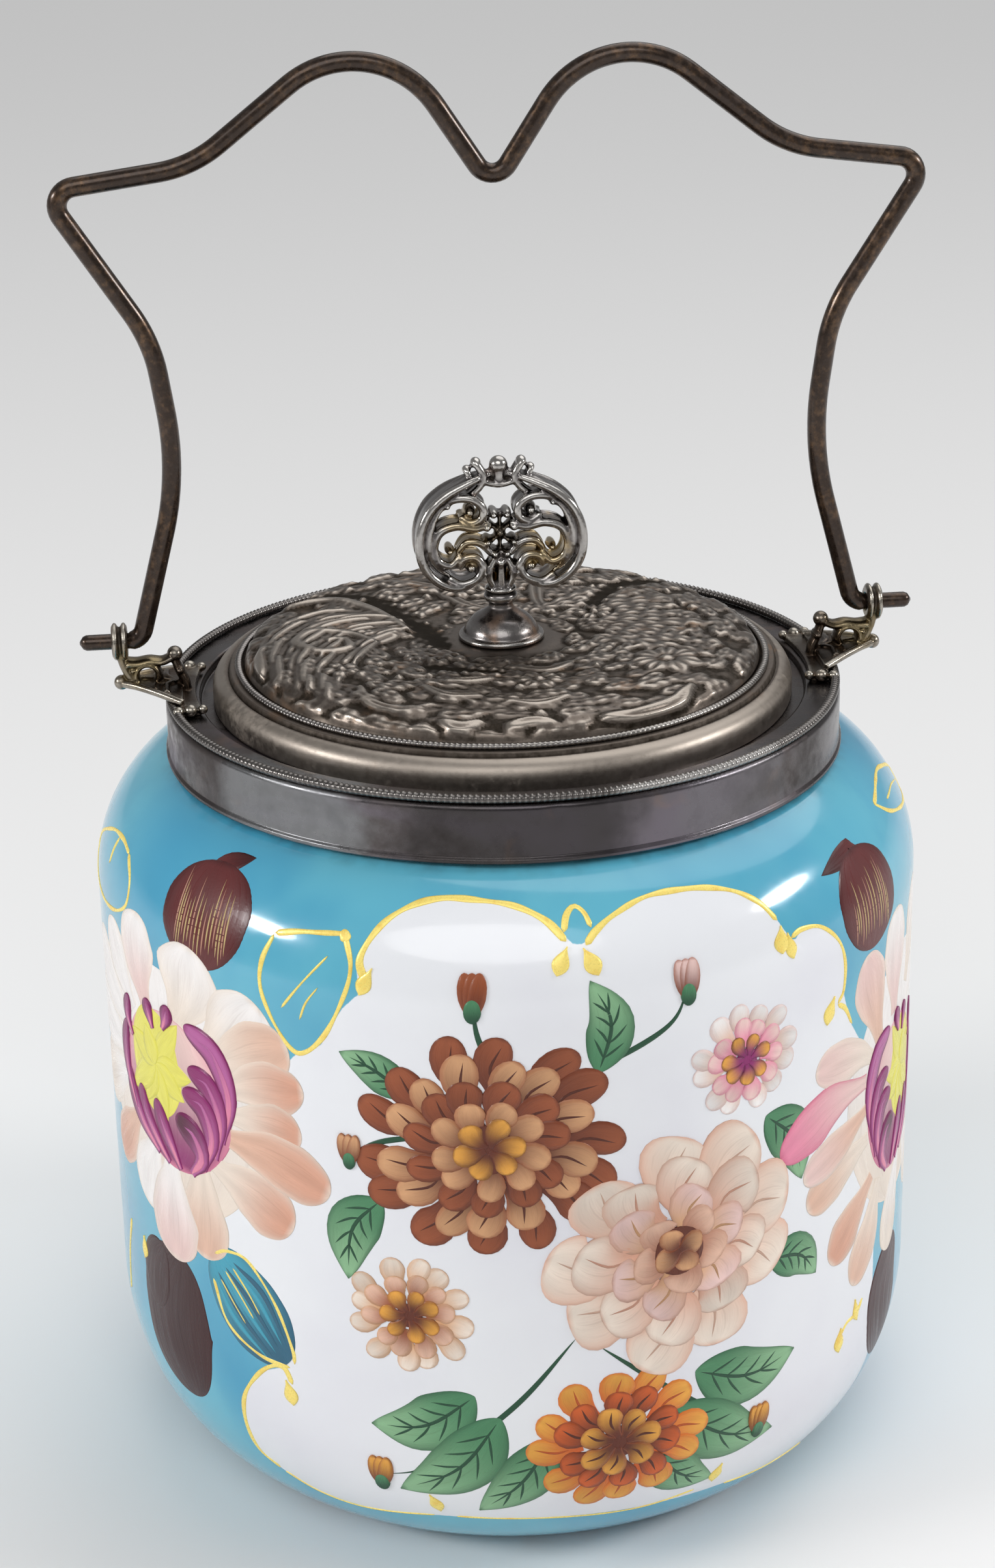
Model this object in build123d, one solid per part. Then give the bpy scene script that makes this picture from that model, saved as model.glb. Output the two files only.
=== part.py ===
from build123d import *
import os
from math import acos, atan, cos, degrees, pi, radians, sin, sqrt, tan

# A lidded glass biscuit jar with a cemented metal collar, a wire bail and a knobbed lid.
# Millimetres. +Z is up, the jar stands on Z = 0 and its axis is the Z axis.
# The bail's two ears stand on the X axis, and the jar's front faces -Y.

# ---- Driving dimensions ----------------------------------------------------

# Blown glass jar
body_r = 70.0              # outside radius just above the rounded base
top_wall_r = 69.4          # outside radius where the wall meets the shoulder
foot_r = 48.0              # outside radius of the flat ground foot
base_curve_h = 30.0        # height of the rounded base
shoulder_z = 103.0         # height where the shoulder begins
shoulder_arc_r = 22.0      # radius of the shoulder's arc
glass_wall = 4.0
floor_t = 5.0              # thickness of the glass floor
neck_r = 52.9              # outside radius of the neck
neck_ledge_w = 1.05        # flat ground ledge round the neck's root
neck_h = 7.0               # height of the neck above that ledge
foot_ring_w = 8.0          # width of the ring that the jar stands on
foot_recess = 1.5          # depth of the hollow inside that ring

# Spun metal collar
sheet_t = 0.9              # thickness of the collar's sheet
cement_t = 2.1             # thickness of the plaster between the neck and the collar
cement_gap = 0.05          # each side of the plaster
band_lip = 0.4             # how far the band's lower edge is turned out
band_lip_h = 1.1           # height of that turned edge
collar_gap = 0.3           # the band's lower edge above the glass
gallery_depth = 1.5        # depth of the lid's gallery below the collar's top
collar_top_w = 5.8         # width of the collar's flat top
gallery_w = 4.8            # width of the gallery
mouth_flange_h = 3.6       # how far the mouth's edge hangs below the gallery's sheet

# Milled wires
rim_wire_r = 0.8           # half the width of the collar's milled wire
rim_wire_h = 1.5
lid_wire_r = 0.65          # half the width of the lid's milled wire
lid_wire_h = 1.0
lid_wire_inset = 0.10      # between the lid's wire and the dome's wall

# Lid
lid_side_clear = 2.1       # between the lid and the gallery's step
lid_sheet = 0.8
lid_lip_h = 2.3            # straight lip below the edge moulding
lid_edge_arc = 2.7         # radius of the edge moulding
lid_step_h = 0.6           # step between the edge moulding and the milled wire
lid_step_in = 0.3          # how far that step leans inward
lid_step_w = 2.2           # width of the flat that carries the milled wire
dome_rise = 3.1            # the dome's flat centre above that flat
dome_crest = 0.9           # how far the raised ring stands above the flat centre
dome_crest_in = 10.9       # the raised ring's crest inside the dome's foot
dome_wall_in = 1.4         # how far the dome's steep wall leans inward
dome_wall_drop = 0.3       # that wall's top below the flat centre
dome_flat_r = 8.5          # flat seat at the lid's centre
flange_wall = 0.9          # locating ring soldered inside the lid
flange_clear = 0.5         # between that ring and the collar's mouth
flange_drop = 4.9          # how far the ring reaches below the gallery's top
flange_seat = 1.0          # the ring's turned-out edge above the gallery
solder_gap = 0.05

# Knob
foot_disc_r = 7.2          # foot of the knob's pedestal
foot_disc_t = 0.8
pedestal_h = 6.3           # from the lid to the ring under the finial
pedestal_neck_r = 2.3
pedestal_flare_r = 4.75    # radius of the trumpet at its bend
pedestal_flare_h = 2.65    # height of that bend
pedestal_ring_r = 3.0
pedestal_ring_h = 1.6
finial_h = 23.0            # cast openwork finial above that ring
finial_half_w = 14.1       # half the finial's width
finial_depth = 8.0         # its thickness from front to back
finial_neck_wall = 1.2     # metal round the stud at the finial's foot
finial_top_r = 1.95        # ball on top
finial_top_drop = 0.9      # how far the ball sinks into the scrolls
stud_r = 1.5
stud_in_finial = 3.6       # how far the stud enters the finial
stud_tail = 0.8            # how far it passes the nut
thread_clear = 0.05
hole_clear = 0.15
washer_r = 5.0
washer_t = 0.8
nut_flats = 5.5            # across the nut's flats
nut_t = 2.4

# Bail and its pins
wire_r = 1.55              # radius of the bail's wire
pin_r = 1.3                # radius of its turned-down ends
pin_clear = 0.06           # running clearance in the ear's eye
pivot_rise = 9.9           # the hinge axis above the collar's top
pin_tail = 5.15            # how far each pin passes its eye
pin_dome = 0.7             # rounding of the pin's outer end
pin_lap = 0.02             # how far the pin starts outside the elbow's end
elbow_r = 2.6              # bend between the pin and the leg
leg_lean = 5.1 / 18.5      # how far the leg leans inward for each mm of height
waist_in = 9.95            # corners of the bail's run before its bends: inside the eye,
waist_rise = 28.0          # and above the hinge axis
waist_bend_r = 50.0
flare_in = 7.15
flare_rise = 49.2
flare_bend_r = 25.0
tip_out = 7.95             # the outer corners of its top stand outside the eye
tip_rise = 73.0
tip_bend_r = 3.0
saddle_in = 15.05
saddle_rise = 76.0
saddle_bend_r = 20.0
hump_x = 17.8
hump_rise = 97.9
hump_bend_r = 15.6
dip_rise = 71.0
dip_bend_r = 2.9

# Ears
eye_r = 3.1                # outside radius of the eye
eye_w = 2.6                # its width along the hinge axis
eye_out = 5.45             # the eye's inner face outside the collar's band
ear_foot_arc = 11.5        # degrees that the foot reaches to each side
ear_foot_t = 1.2
ear_foot_inset = 0.6       # the foot's inner edge from the gallery's step
ear_wire_gap = 0.15        # between the ear and the milled wire
leaf_t = 2.2               # thickness of the cast leaf
leaf_root_t = 1.75         # its thickness where it leaves the foot
leaf_tip_t = 1.3
leaf_root_w = 15.0         # its width over the collar's edge
leaf_mid_w = 8.4           # its width where the bail swings past
leaf_tip_w = 3.4
leaf_flat_out = 1.55       # where the leaf starts to rise outside the band
leaf_rise = 1.5            # how far it rises to its tip
leaf_tip_out = 8.2         # its tip outside the band
leaf_hole_r = 1.1
leaf_hole_in = 0.65        # the holes' centres inside the milled wire's clearance
leaf_hole_edge = 0.2       # and inside the leaf's edge
stem_t = 3.0               # thickness of the upright scroll
post_root_r = 1.4          # half width of the scroll at the foot,
post_top_r = 0.9           # under the ball,
arm_r = 1.0                # and beside the volute
volute_r = 2.2
volute_t = 3.8
volute_hole_r = 1.0
volute_out = 2.3           # the volute's centre outside the band
volute_rise = 2.42         # and above the milled wire's clearance
ball_r = 1.3
ball_in = 1.2              # the ball's centre outside the gallery's step
ball_rise = 6.4            # and above the ear's foot
foot_bead_r = 1.0
foot_bead_inset = 1.2      # degrees from the bead's centre to the foot's end
bead_spacing = 2.0

# ---- Values worked out from the driving dimensions -------------------------

shoulder_centre_r = top_wall_r - shoulder_arc_r
band_r = neck_r + 2 * cement_gap + cement_t + sheet_t     # outside radius of the band
gallery_r = band_r - collar_top_w                         # inside radius of the gallery's step
mouth_r = gallery_r - gallery_w                           # inside radius of the mouth
lid_r = gallery_r - lid_side_clear                        # outside radius of the lid


def shoulder_height(radius, arc=shoulder_arc_r):
    """Height of the shoulder's arc at a radius."""
    return shoulder_z + sqrt(arc ** 2 - (radius - shoulder_centre_r) ** 2)


neck_ledge_z = shoulder_height(neck_r + neck_ledge_w)
neck_top_z = neck_ledge_z + neck_h
neck_in_r = neck_r - glass_wall
gallery_z = neck_top_z + sheet_t                     # the lid rests here
collar_top_z = gallery_z + gallery_depth
band_bottom_z = shoulder_height(band_r - sheet_t) + collar_gap
rim_wire_centre = band_r - rim_wire_r

lip_top_z = gallery_z + lid_lip_h
edge_top_z = lip_top_z + lid_edge_arc
step_z = edge_top_z + lid_step_h
step_outer_r = lid_r - lid_edge_arc - lid_step_in
dome_foot_r = step_outer_r - lid_step_w
dome_crest_r = dome_foot_r - dome_crest_in
dome_z = step_z + dome_rise
lid_wire_centre = dome_foot_r + lid_wire_inset + lid_wire_r

ring_z = dome_z + pedestal_h
finial_z = ring_z + pedestal_ring_h
washer_z = dome_z - lid_sheet - washer_t
nut_z = washer_z - nut_t
ear_foot_z = collar_top_z + ear_foot_t
pivot_z = collar_top_z + pivot_rise
eye_x = band_r + eye_out
pin_end_x = eye_x + eye_w + pin_tail
leg_foot_x = eye_x - waist_in + leg_lean * waist_rise     # corner between the leg and the pin
pin_inner_x = leg_foot_x + elbow_r * tan((pi / 2 - atan(leg_lean)) / 2)


# ---- Helpers ---------------------------------------------------------------

def section(*edges):
    """A flat face on the XZ plane from edges drawn as (radius, height)."""
    return Plane.XZ * make_face(list(edges))


def turned(*edges):
    """A solid turned about Z from a closed run of edges."""
    return revolve(section(*edges), Axis.Z)


def turned_polygon(points):
    """A solid turned about Z from a closed polygon of (radius, height) points."""
    return revolve(Plane.XZ * make_face(Polyline(*points, close=True)), Axis.Z)


def milled_wire(centre_r, half_w, height, base_z):
    """A ring of D-section wire with a flat seat and a round top."""
    inner, outer = centre_r - half_w, centre_r + half_w
    spring = base_z + height - half_w
    return turned(
        Line((inner, base_z), (outer, base_z)),
        Line((outer, base_z), (outer, spring)),
        ThreePointArc((outer, spring), (centre_r, base_z + height), (inner, spring)),
        Line((inner, spring), (inner, base_z)),
    )


# ---- Jar -------------------------------------------------------------------

def make_glass_jar():
    """Blown body, rounded base and neck, hollow and open at the top."""
    curve_w = body_r - foot_r
    in_floor_r = foot_r - glass_wall / 2
    in_r = body_r - glass_wall
    in_arc = shoulder_arc_r - glass_wall
    ledge_r = neck_r + neck_ledge_w
    shoulder_angle = degrees(acos((ledge_r - shoulder_centre_r) / shoulder_arc_r))
    in_angle = degrees(acos((neck_in_r - shoulder_centre_r) / in_arc))
    in_neck_z = shoulder_height(neck_in_r, in_arc)
    recess_r = foot_r - foot_ring_w
    return turned(
        Line((0, foot_recess), (recess_r, foot_recess)),
        Line((recess_r, foot_recess), (recess_r + foot_recess, 0)),
        Line((recess_r + foot_recess, 0), (foot_r, 0)),
        EllipticalCenterArc((foot_r, base_curve_h), curve_w, base_curve_h, 270),
        Line((body_r, base_curve_h), (top_wall_r, shoulder_z)),
        CenterArc((shoulder_centre_r, shoulder_z), shoulder_arc_r, 0, shoulder_angle),
        Line((ledge_r, neck_ledge_z), (neck_r, neck_ledge_z)),
        Line((neck_r, neck_ledge_z), (neck_r, neck_top_z)),
        Line((neck_r, neck_top_z), (neck_in_r, neck_top_z)),
        Line((neck_in_r, neck_top_z), (neck_in_r, in_neck_z)),
        CenterArc((shoulder_centre_r, shoulder_z), in_arc, 0, in_angle),
        Line((shoulder_centre_r + in_arc, shoulder_z), (in_r, base_curve_h)),
        EllipticalCenterArc((in_floor_r, base_curve_h), in_r - in_floor_r,
                            base_curve_h - floor_t, 270),
        Line((in_floor_r, floor_t), (0, floor_t)),
        Line((0, floor_t), (0, foot_recess)),
    )


def make_cement_ring():
    """Plaster that bonds the collar to the neck."""
    inner, outer = neck_r + cement_gap, band_r - sheet_t - cement_gap
    top = collar_top_z - sheet_t
    return turned_polygon([(inner, neck_ledge_z), (neck_r + neck_ledge_w, neck_ledge_z),
                           (outer, band_bottom_z + band_lip_h), (outer, top),
                           (gallery_r + sheet_t + cement_gap, top),
                           (gallery_r + sheet_t + cement_gap, neck_top_z),
                           (inner, neck_top_z)])


def make_collar_band():
    """One spun piece: band, flat top, gallery for the lid and turned-down mouth."""
    lip_r = band_r + band_lip
    in_band = band_r - sheet_t
    flange_z = neck_top_z - mouth_flange_h
    return turned_polygon([
        (in_band, band_bottom_z), (lip_r, band_bottom_z),
        (lip_r, band_bottom_z + band_lip_h - band_lip), (band_r, band_bottom_z + band_lip_h),
        (band_r, collar_top_z), (gallery_r, collar_top_z), (gallery_r, gallery_z),
        (mouth_r, gallery_z), (mouth_r, flange_z), (mouth_r + sheet_t, flange_z),
        (mouth_r + sheet_t, neck_top_z), (gallery_r + sheet_t, neck_top_z),
        (gallery_r + sheet_t, collar_top_z - sheet_t), (in_band, collar_top_z - sheet_t),
    ])


# ---- Ears ------------------------------------------------------------------

def web(start, start_r, end, end_r):
    """A flat bar in the XZ plane, the hull of two discs, as thick as the scroll."""
    discs = [Pos(*start) * Circle(start_r), Pos(*end) * Circle(end_r)]
    return extrude(Plane.XZ * make_hull([disc.edge() for disc in discs]), stem_t / 2, both=True)


def make_ear():
    """Cast ear on +X: foot soldered to the collar, openwork leaf, scroll and eye."""
    outer = rim_wire_centre - rim_wire_r - ear_wire_gap
    inner = gallery_r + ear_foot_inset
    over_wire = collar_top_z + rim_wire_h + ear_wire_gap
    reach = 2 * band_r
    half = radians(ear_foot_arc)
    wedge = extrude(make_face(Polyline((0, 0), (reach, -reach * tan(half)),
                                       (reach, reach * tan(half)), close=True)), reach * 2)
    ear = wedge & turned_polygon([(inner, collar_top_z), (outer, collar_top_z),
                                  (outer, ear_foot_z), (inner, ear_foot_z)])

    # The leaf: its side view cut to its plan, over the milled wire and out to the tip.
    leaf_tip_x = band_r + leaf_tip_out
    volute_x = band_r + volute_out
    tip_z = over_wire + leaf_rise
    root_z = ear_foot_z - ear_foot_t / 2
    side = make_face(Polyline((inner, root_z), (outer, root_z), (outer, over_wire),
                              (band_r + leaf_flat_out, over_wire), (leaf_tip_x, tip_z),
                              (leaf_tip_x, tip_z + leaf_tip_t), (volute_x, over_wire + leaf_t),
                              (outer, over_wire + leaf_root_t), (inner, ear_foot_z), close=True))
    neck_x = pin_inner_x - 2 * wire_r - elbow_r
    plan = make_face(Polyline((inner, -leaf_root_w / 2), (outer, -leaf_root_w / 2),
                              (neck_x, -leaf_mid_w / 2), (leaf_tip_x, -leaf_tip_w / 2),
                              (leaf_tip_x, leaf_tip_w / 2), (neck_x, leaf_mid_w / 2),
                              (outer, leaf_root_w / 2), (inner, leaf_root_w / 2), close=True))
    leaf = extrude(Plane.XZ * side, leaf_root_w, both=True) & extrude(plan, tip_z * 2)
    for side_y in (-1, 1):
        hole_y = side_y * (leaf_mid_w / 2 - leaf_hole_edge)
        leaf -= Pos(outer + leaf_hole_in, hole_y, over_wire) * Cylinder(leaf_hole_r, leaf_t * 4)

    # The upright scroll: a post up to the ball, and an arm by way of the volute to the eye.
    root = (inner + post_root_r, ear_foot_z)
    ball = (gallery_r + ball_in, ear_foot_z + ball_rise)
    volute = (volute_x, over_wire + volute_rise)
    under_eye = (eye_x + eye_w / 2, pivot_z - eye_r + arm_r / 2)
    scroll = leaf + web(root, post_root_r, ball, post_top_r)
    scroll += web(root, post_root_r, volute, arm_r * 2)
    scroll += web(volute, arm_r * 2, under_eye, arm_r)
    scroll -= turned_polygon([(0, 0), (reach, 0), (reach, collar_top_z),
                              (band_r + ear_wire_gap, collar_top_z), (band_r + ear_wire_gap, over_wire),
                              (outer, over_wire), (outer, root_z), (0, root_z)])
    ear += scroll
    across = Pos(volute[0], 0, volute[1]) * Rot(90, 0, 0)
    ear += across * Cylinder(volute_r, volute_t)
    ear -= across * Cylinder(volute_hole_r, volute_t * 2)
    ear += Pos(ball[0], 0, ball[1]) * Sphere(ball_r)
    eye = Pos(eye_x + eye_w / 2, 0, pivot_z) * Rot(0, 90, 0)
    ear += eye * Cylinder(eye_r, eye_w)
    ear -= eye * Cylinder(pin_r + pin_clear, eye_w * 2)

    # Cast beads at both ends of the foot.
    end = radians(ear_foot_arc - foot_bead_inset)
    for turn in (-end, end):
        for step in (0, 1):
            bead_r = inner + foot_bead_r / 2 + step * bead_spacing
            ear += Pos(bead_r * cos(turn), bead_r * sin(turn), ear_foot_z) * Sphere(foot_bead_r)
    return ear


# ---- Bail ------------------------------------------------------------------

def make_bail_handle():
    """Bent wire: straight runs and tangent arcs, with a pin turned on each end."""
    half_run = [
        (leg_foot_x, pivot_z, elbow_r),
        (eye_x - waist_in, pivot_z + waist_rise, waist_bend_r),
        (eye_x - flare_in, pivot_z + flare_rise, flare_bend_r),
        (eye_x + tip_out, pivot_z + tip_rise, tip_bend_r),
        (eye_x - saddle_in, pivot_z + saddle_rise, saddle_bend_r),
        (hump_x, pivot_z + hump_rise, hump_bend_r),
    ]
    start_x = pin_inner_x + pin_lap
    points = [(start_x, pivot_z)] + [(x, z) for x, z, _ in half_run] + [(0, pivot_z + dip_rise)]
    points += [(-x, z) for x, z in reversed(points[:-1])]
    radii = [r for _, _, r in half_run] + [dip_bend_r] + [r for _, _, r in reversed(half_run)]
    path = Plane.XZ * FilletPolyline(*points, radius=radii)
    start = Plane(origin=(start_x, 0, pivot_z), z_dir=(-1, 0, 0))
    bail = sweep(start * Circle(wire_r), path=path)
    pin = Cylinder(pin_r, pin_end_x - start_x, align=(Align.CENTER, Align.CENTER, Align.MIN))
    pin = fillet(pin.edges().sort_by(Axis.Z)[-1], pin_dome)
    bail += Pos(start_x, 0, pivot_z) * Rot(0, 90, 0) * pin
    bail += Pos(-start_x, 0, pivot_z) * Rot(0, -90, 0) * pin
    return bail


# ---- Lid -------------------------------------------------------------------

def make_lid_dome():
    """Stamped lid: lip, edge moulding, step for the milled wire and raised dome."""
    in_lip = lid_r - lid_sheet
    arc_centre_r = lid_r - lid_edge_arc
    in_arc = lid_edge_arc - lid_sheet
    crest_z = dome_z + dome_crest
    wall_z = dome_z - dome_wall_drop
    steep_to_flat = [(-0.1, 1), (-1, 0)]
    outer_dome = Spline((dome_foot_r, step_z), (dome_foot_r - dome_wall_in, wall_z),
                        (dome_crest_r, crest_z), (dome_flat_r, dome_z), tangents=steep_to_flat)
    in_foot = dome_foot_r - lid_sheet
    inner_dome = Spline((in_foot, step_z - lid_sheet), (in_foot - dome_wall_in, wall_z - lid_sheet),
                        (dome_crest_r, crest_z - lid_sheet), (dome_flat_r, dome_z - lid_sheet),
                        tangents=steep_to_flat)
    hole_r = stud_r + hole_clear
    return turned(
        Line((in_lip, gallery_z), (lid_r, gallery_z)),
        Line((lid_r, gallery_z), (lid_r, lip_top_z)),
        CenterArc((arc_centre_r, lip_top_z), lid_edge_arc, 0, 90),
        Line((arc_centre_r, edge_top_z), (step_outer_r, step_z)),
        Line((step_outer_r, step_z), (dome_foot_r, step_z)),
        outer_dome,
        Line((dome_flat_r, dome_z), (hole_r, dome_z)),
        Line((hole_r, dome_z), (hole_r, dome_z - lid_sheet)),
        Line((hole_r, dome_z - lid_sheet), (dome_flat_r, dome_z - lid_sheet)),
        inner_dome,
        Line((in_foot, step_z - lid_sheet), (step_outer_r - lid_sheet / 2, step_z - lid_sheet)),
        Line((step_outer_r - lid_sheet / 2, step_z - lid_sheet),
             (arc_centre_r, edge_top_z - lid_sheet)),
        CenterArc((arc_centre_r, lip_top_z), in_arc, 0, 90),
        Line((in_lip, lip_top_z), (in_lip, gallery_z)),
    )


def make_lid_flange():
    """Locating ring that drops into the collar's mouth, soldered inside the lip."""
    outer = mouth_r - flange_clear
    inner = outer - flange_wall
    seat_r = lid_r - lid_sheet - solder_gap
    seat_z = gallery_z + flange_seat
    bottom = gallery_z - flange_drop
    return turned_polygon([(inner, bottom), (outer, bottom), (outer, seat_z), (seat_r, seat_z),
                           (seat_r, seat_z + flange_wall), (inner, seat_z + flange_wall)])


# ---- Knob ------------------------------------------------------------------

def make_knob_pedestal():
    """Turned trumpet foot with a ring at its top, bored for the stud."""
    bore = stud_r + hole_clear
    body = turned(
        Line((bore, dome_z), (foot_disc_r, dome_z)),
        Line((foot_disc_r, dome_z), (foot_disc_r, dome_z + foot_disc_t)),
        Spline((foot_disc_r, dome_z + foot_disc_t), (pedestal_flare_r, dome_z + pedestal_flare_h),
               (pedestal_neck_r, ring_z), tangents=[(-1, 0.5), (-0.1, 1)]),
        Line((pedestal_neck_r, ring_z), (bore, ring_z)),
        Line((bore, ring_z), (bore, dome_z)),
    )
    bulge = ring_z + pedestal_ring_h / 2
    ring = turned(
        Line((bore, ring_z), (pedestal_neck_r, ring_z)),
        ThreePointArc((pedestal_neck_r, ring_z), (pedestal_ring_r, bulge), (pedestal_neck_r, finial_z)),
        Line((pedestal_neck_r, finial_z), (bore, finial_z)),
        Line((bore, finial_z), (bore, ring_z)),
    )
    return body + ring


def make_knob_finial():
    """Cast openwork onion: two facing C-scrolls, pierced, with a ball on top.

    The outline and the windows are shares of the half width and of the scrolls' height.
    """
    outline = [(0.55, 0.05), (0.87, 0.20), (1.00, 0.50), (0.90, 0.76), (0.62, 0.93), (0.15, 1.00)]
    middle_windows = [(0.78, 0.17, 0.150), (0.45, 0.19, 0.090)]     # height, half width, half height
    side_windows = [                                                # the same, after the distance across
        (0.62, 0.45, 0.13, 0.150), (0.48, 0.76, 0.15, 0.070), (0.50, 0.18, 0.14, 0.060),
    ]
    windows = [(0, *window) for window in middle_windows] + side_windows
    windows += [(-across, *window) for across, *window in side_windows]
    half_w = finial_half_w
    top = finial_z + finial_h - 2 * finial_top_r + finial_top_drop
    height = top - finial_z
    side = [(stud_r + finial_neck_wall, finial_z)]
    side += [(x * half_w, finial_z + z * height) for x, z in outline]
    onion = turned(Line((0, finial_z), side[0]), Spline(*side), Line(side[-1], (0, top)),
                   Line((0, top), (0, finial_z)))
    finial = onion & Pos(0, 0, finial_z) * Box(3 * half_w, finial_depth, 3 * finial_h)
    for x, z, window_w, window_h in windows:
        oval = Pos(x * half_w, finial_z + z * height) * Ellipse(window_w * half_w, window_h * height)
        finial -= extrude(Plane.XZ * oval, finial_depth, both=True)
    finial += Pos(0, 0, finial_z + finial_h - finial_top_r) * Sphere(finial_top_r)
    bore = Cylinder(stud_r + thread_clear, stud_in_finial + thread_clear,
                    align=(Align.CENTER, Align.CENTER, Align.MIN))
    return finial - Pos(0, 0, finial_z) * bore


def make_knob_stud():
    """Plain rod for the threaded stud that ties the knob through the lid."""
    low = nut_z - stud_tail
    return Pos(0, 0, low) * Cylinder(stud_r, finial_z + stud_in_finial - low,
                                     align=(Align.CENTER, Align.CENTER, Align.MIN))


def make_knob_washer():
    """Flat washer under the lid."""
    return turned_polygon([(stud_r + hole_clear, washer_z), (washer_r, washer_z),
                           (washer_r, washer_z + washer_t), (stud_r + hole_clear, washer_z + washer_t)])


def make_knob_nut():
    """Hexagon nut under the washer."""
    hexagon = RegularPolygon(nut_flats / 2, 6, major_radius=False)
    hexagon -= Circle(stud_r + thread_clear)
    return Pos(0, 0, nut_z) * extrude(hexagon, nut_t)


# ---- Build and write -------------------------------------------------------

ear = make_ear()
pieces = {
    "glass_jar": make_glass_jar(),
    "cement_ring": make_cement_ring(),
    "collar_band": make_collar_band(),
    "collar_milled_wire": milled_wire(rim_wire_centre, rim_wire_r, rim_wire_h, collar_top_z),
    "right_ear": ear,
    "left_ear": Rot(0, 0, 180) * ear,
    "bail_handle": make_bail_handle(),
    "lid_dome": make_lid_dome(),
    "lid_milled_wire": milled_wire(lid_wire_centre, lid_wire_r, lid_wire_h, step_z),
    "lid_flange": make_lid_flange(),
    "knob_pedestal": make_knob_pedestal(),
    "knob_finial": make_knob_finial(),
    "knob_stud": make_knob_stud(),
    "knob_washer": make_knob_washer(),
    "knob_nut": make_knob_nut(),
}

os.makedirs("parts", exist_ok=True)
for name, shape in pieces.items():
    export_step(shape, f"parts/{name}.step")
    size = shape.bounding_box().size
    print(f"{name}: {size.X:.1f} x {size.Y:.1f} x {size.Z:.1f} mm, {shape.volume:.0f} mm3")
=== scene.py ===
import logging
from dataclasses import dataclass, field
from enum import Enum
from typing import Callable, Sequence

import bpy
import numpy as np
from mathutils import Euler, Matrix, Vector
from numpy.typing import NDArray


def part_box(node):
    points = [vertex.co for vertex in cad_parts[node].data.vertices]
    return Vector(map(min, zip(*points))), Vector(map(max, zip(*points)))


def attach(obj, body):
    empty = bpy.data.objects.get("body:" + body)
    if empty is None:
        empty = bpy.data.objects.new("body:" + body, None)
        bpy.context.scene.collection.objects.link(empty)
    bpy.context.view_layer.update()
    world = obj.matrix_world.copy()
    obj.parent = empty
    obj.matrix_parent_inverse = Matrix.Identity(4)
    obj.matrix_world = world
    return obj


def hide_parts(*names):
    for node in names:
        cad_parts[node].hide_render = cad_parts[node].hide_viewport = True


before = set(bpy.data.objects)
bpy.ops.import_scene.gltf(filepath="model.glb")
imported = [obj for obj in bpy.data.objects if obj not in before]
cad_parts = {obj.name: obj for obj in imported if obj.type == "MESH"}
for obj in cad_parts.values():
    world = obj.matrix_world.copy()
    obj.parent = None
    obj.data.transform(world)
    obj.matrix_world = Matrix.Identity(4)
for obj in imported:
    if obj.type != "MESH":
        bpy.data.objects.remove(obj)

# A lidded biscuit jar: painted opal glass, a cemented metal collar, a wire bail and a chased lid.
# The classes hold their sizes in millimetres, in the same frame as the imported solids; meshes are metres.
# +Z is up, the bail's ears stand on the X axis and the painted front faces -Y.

Floats = NDArray[np.float64]
Colour = tuple[float, float, float]
Place = tuple[float, float]
Socket = bpy.types.NodeSocket
Tree = bpy.types.NodeTree
Material = bpy.types.Material
Piece = bpy.types.Object

MM = 0.001
log = logging.getLogger("biscuit_jar")


# ---- Small maths ----

def display(red: int, green: int, blue: int) -> Colour:
    """A screen colour (0 to 255) as linear light, by the inverse of the screen's transfer curve."""
    share = np.array([red, green, blue]) / 255.0
    linear = np.where(share <= 0.04045, share / 12.92, ((share + 0.055) / 1.055) ** 2.4)
    return tuple(float(x) for x in linear)


def unit(vectors: Floats) -> Floats:
    """Vectors along the last axis, each scaled to length one."""
    return vectors / np.maximum(np.linalg.norm(vectors, axis=-1, keepdims=True), 1e-12)


def smooth_step(value: Floats, low: float, high: float) -> Floats:
    """0 below low, 1 above high, and 3t^2 - 2t^3 between them."""
    t = np.clip((value - low) / (high - low), 0.0, 1.0)
    return t * t * (3.0 - 2.0 * t)


def run_of(path: Floats) -> Floats:
    """The distance along a path at each of its points."""
    return np.concatenate([[0.0], np.cumsum(np.linalg.norm(np.diff(path, axis=0), axis=1))])


def evenly(path: Floats, count: int) -> Floats:
    """Resamples a path to count points, evenly spaced along its length."""
    run = run_of(path)
    wanted = np.linspace(0.0, run[-1], count)
    return np.stack([np.interp(wanted, run, values) for values in path.T], axis=1)


def through(points: Sequence[Sequence[float]], count: int) -> Floats:
    """A smooth curve through the points.

    Each span is the cubic whose end slopes are half the chord between its neighbours.

    Args:
        points: two or more points, in any number of dimensions.
        count: how many points the result has, evenly spaced.

    Returns:
        The curve's points, one per row.
    """
    p = np.asarray(points, float)
    p = np.concatenate([2 * p[:1] - p[1:2], p, 2 * p[-1:] - p[-2:-1]])
    spans = len(p) - 3
    u = np.linspace(0.0, spans, max(count * 3, spans * 8))
    k = np.minimum(u.astype(int), spans - 1)
    t = (u - k)[:, None]
    a, b, c, d = (p[k + step] for step in range(4))
    bend = (2 * a - 5 * b + 4 * c - d) * t ** 2
    return evenly(0.5 * (2 * b + (c - a) * t + bend + (3 * b - a - 3 * c + d) * t ** 3), count)


def arc(centre: Place, radius: float | Place, start: float, end: float, steps: int) -> Floats:
    """Points on a circle or ellipse: centre + (rx cos, ry sin) from start to end degrees."""
    turn = np.radians(np.linspace(start, end, steps))
    rx, ry = np.broadcast_to(radius, 2)
    return np.stack([centre[0] + rx * np.cos(turn), centre[1] + ry * np.sin(turn)], axis=1)


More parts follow.
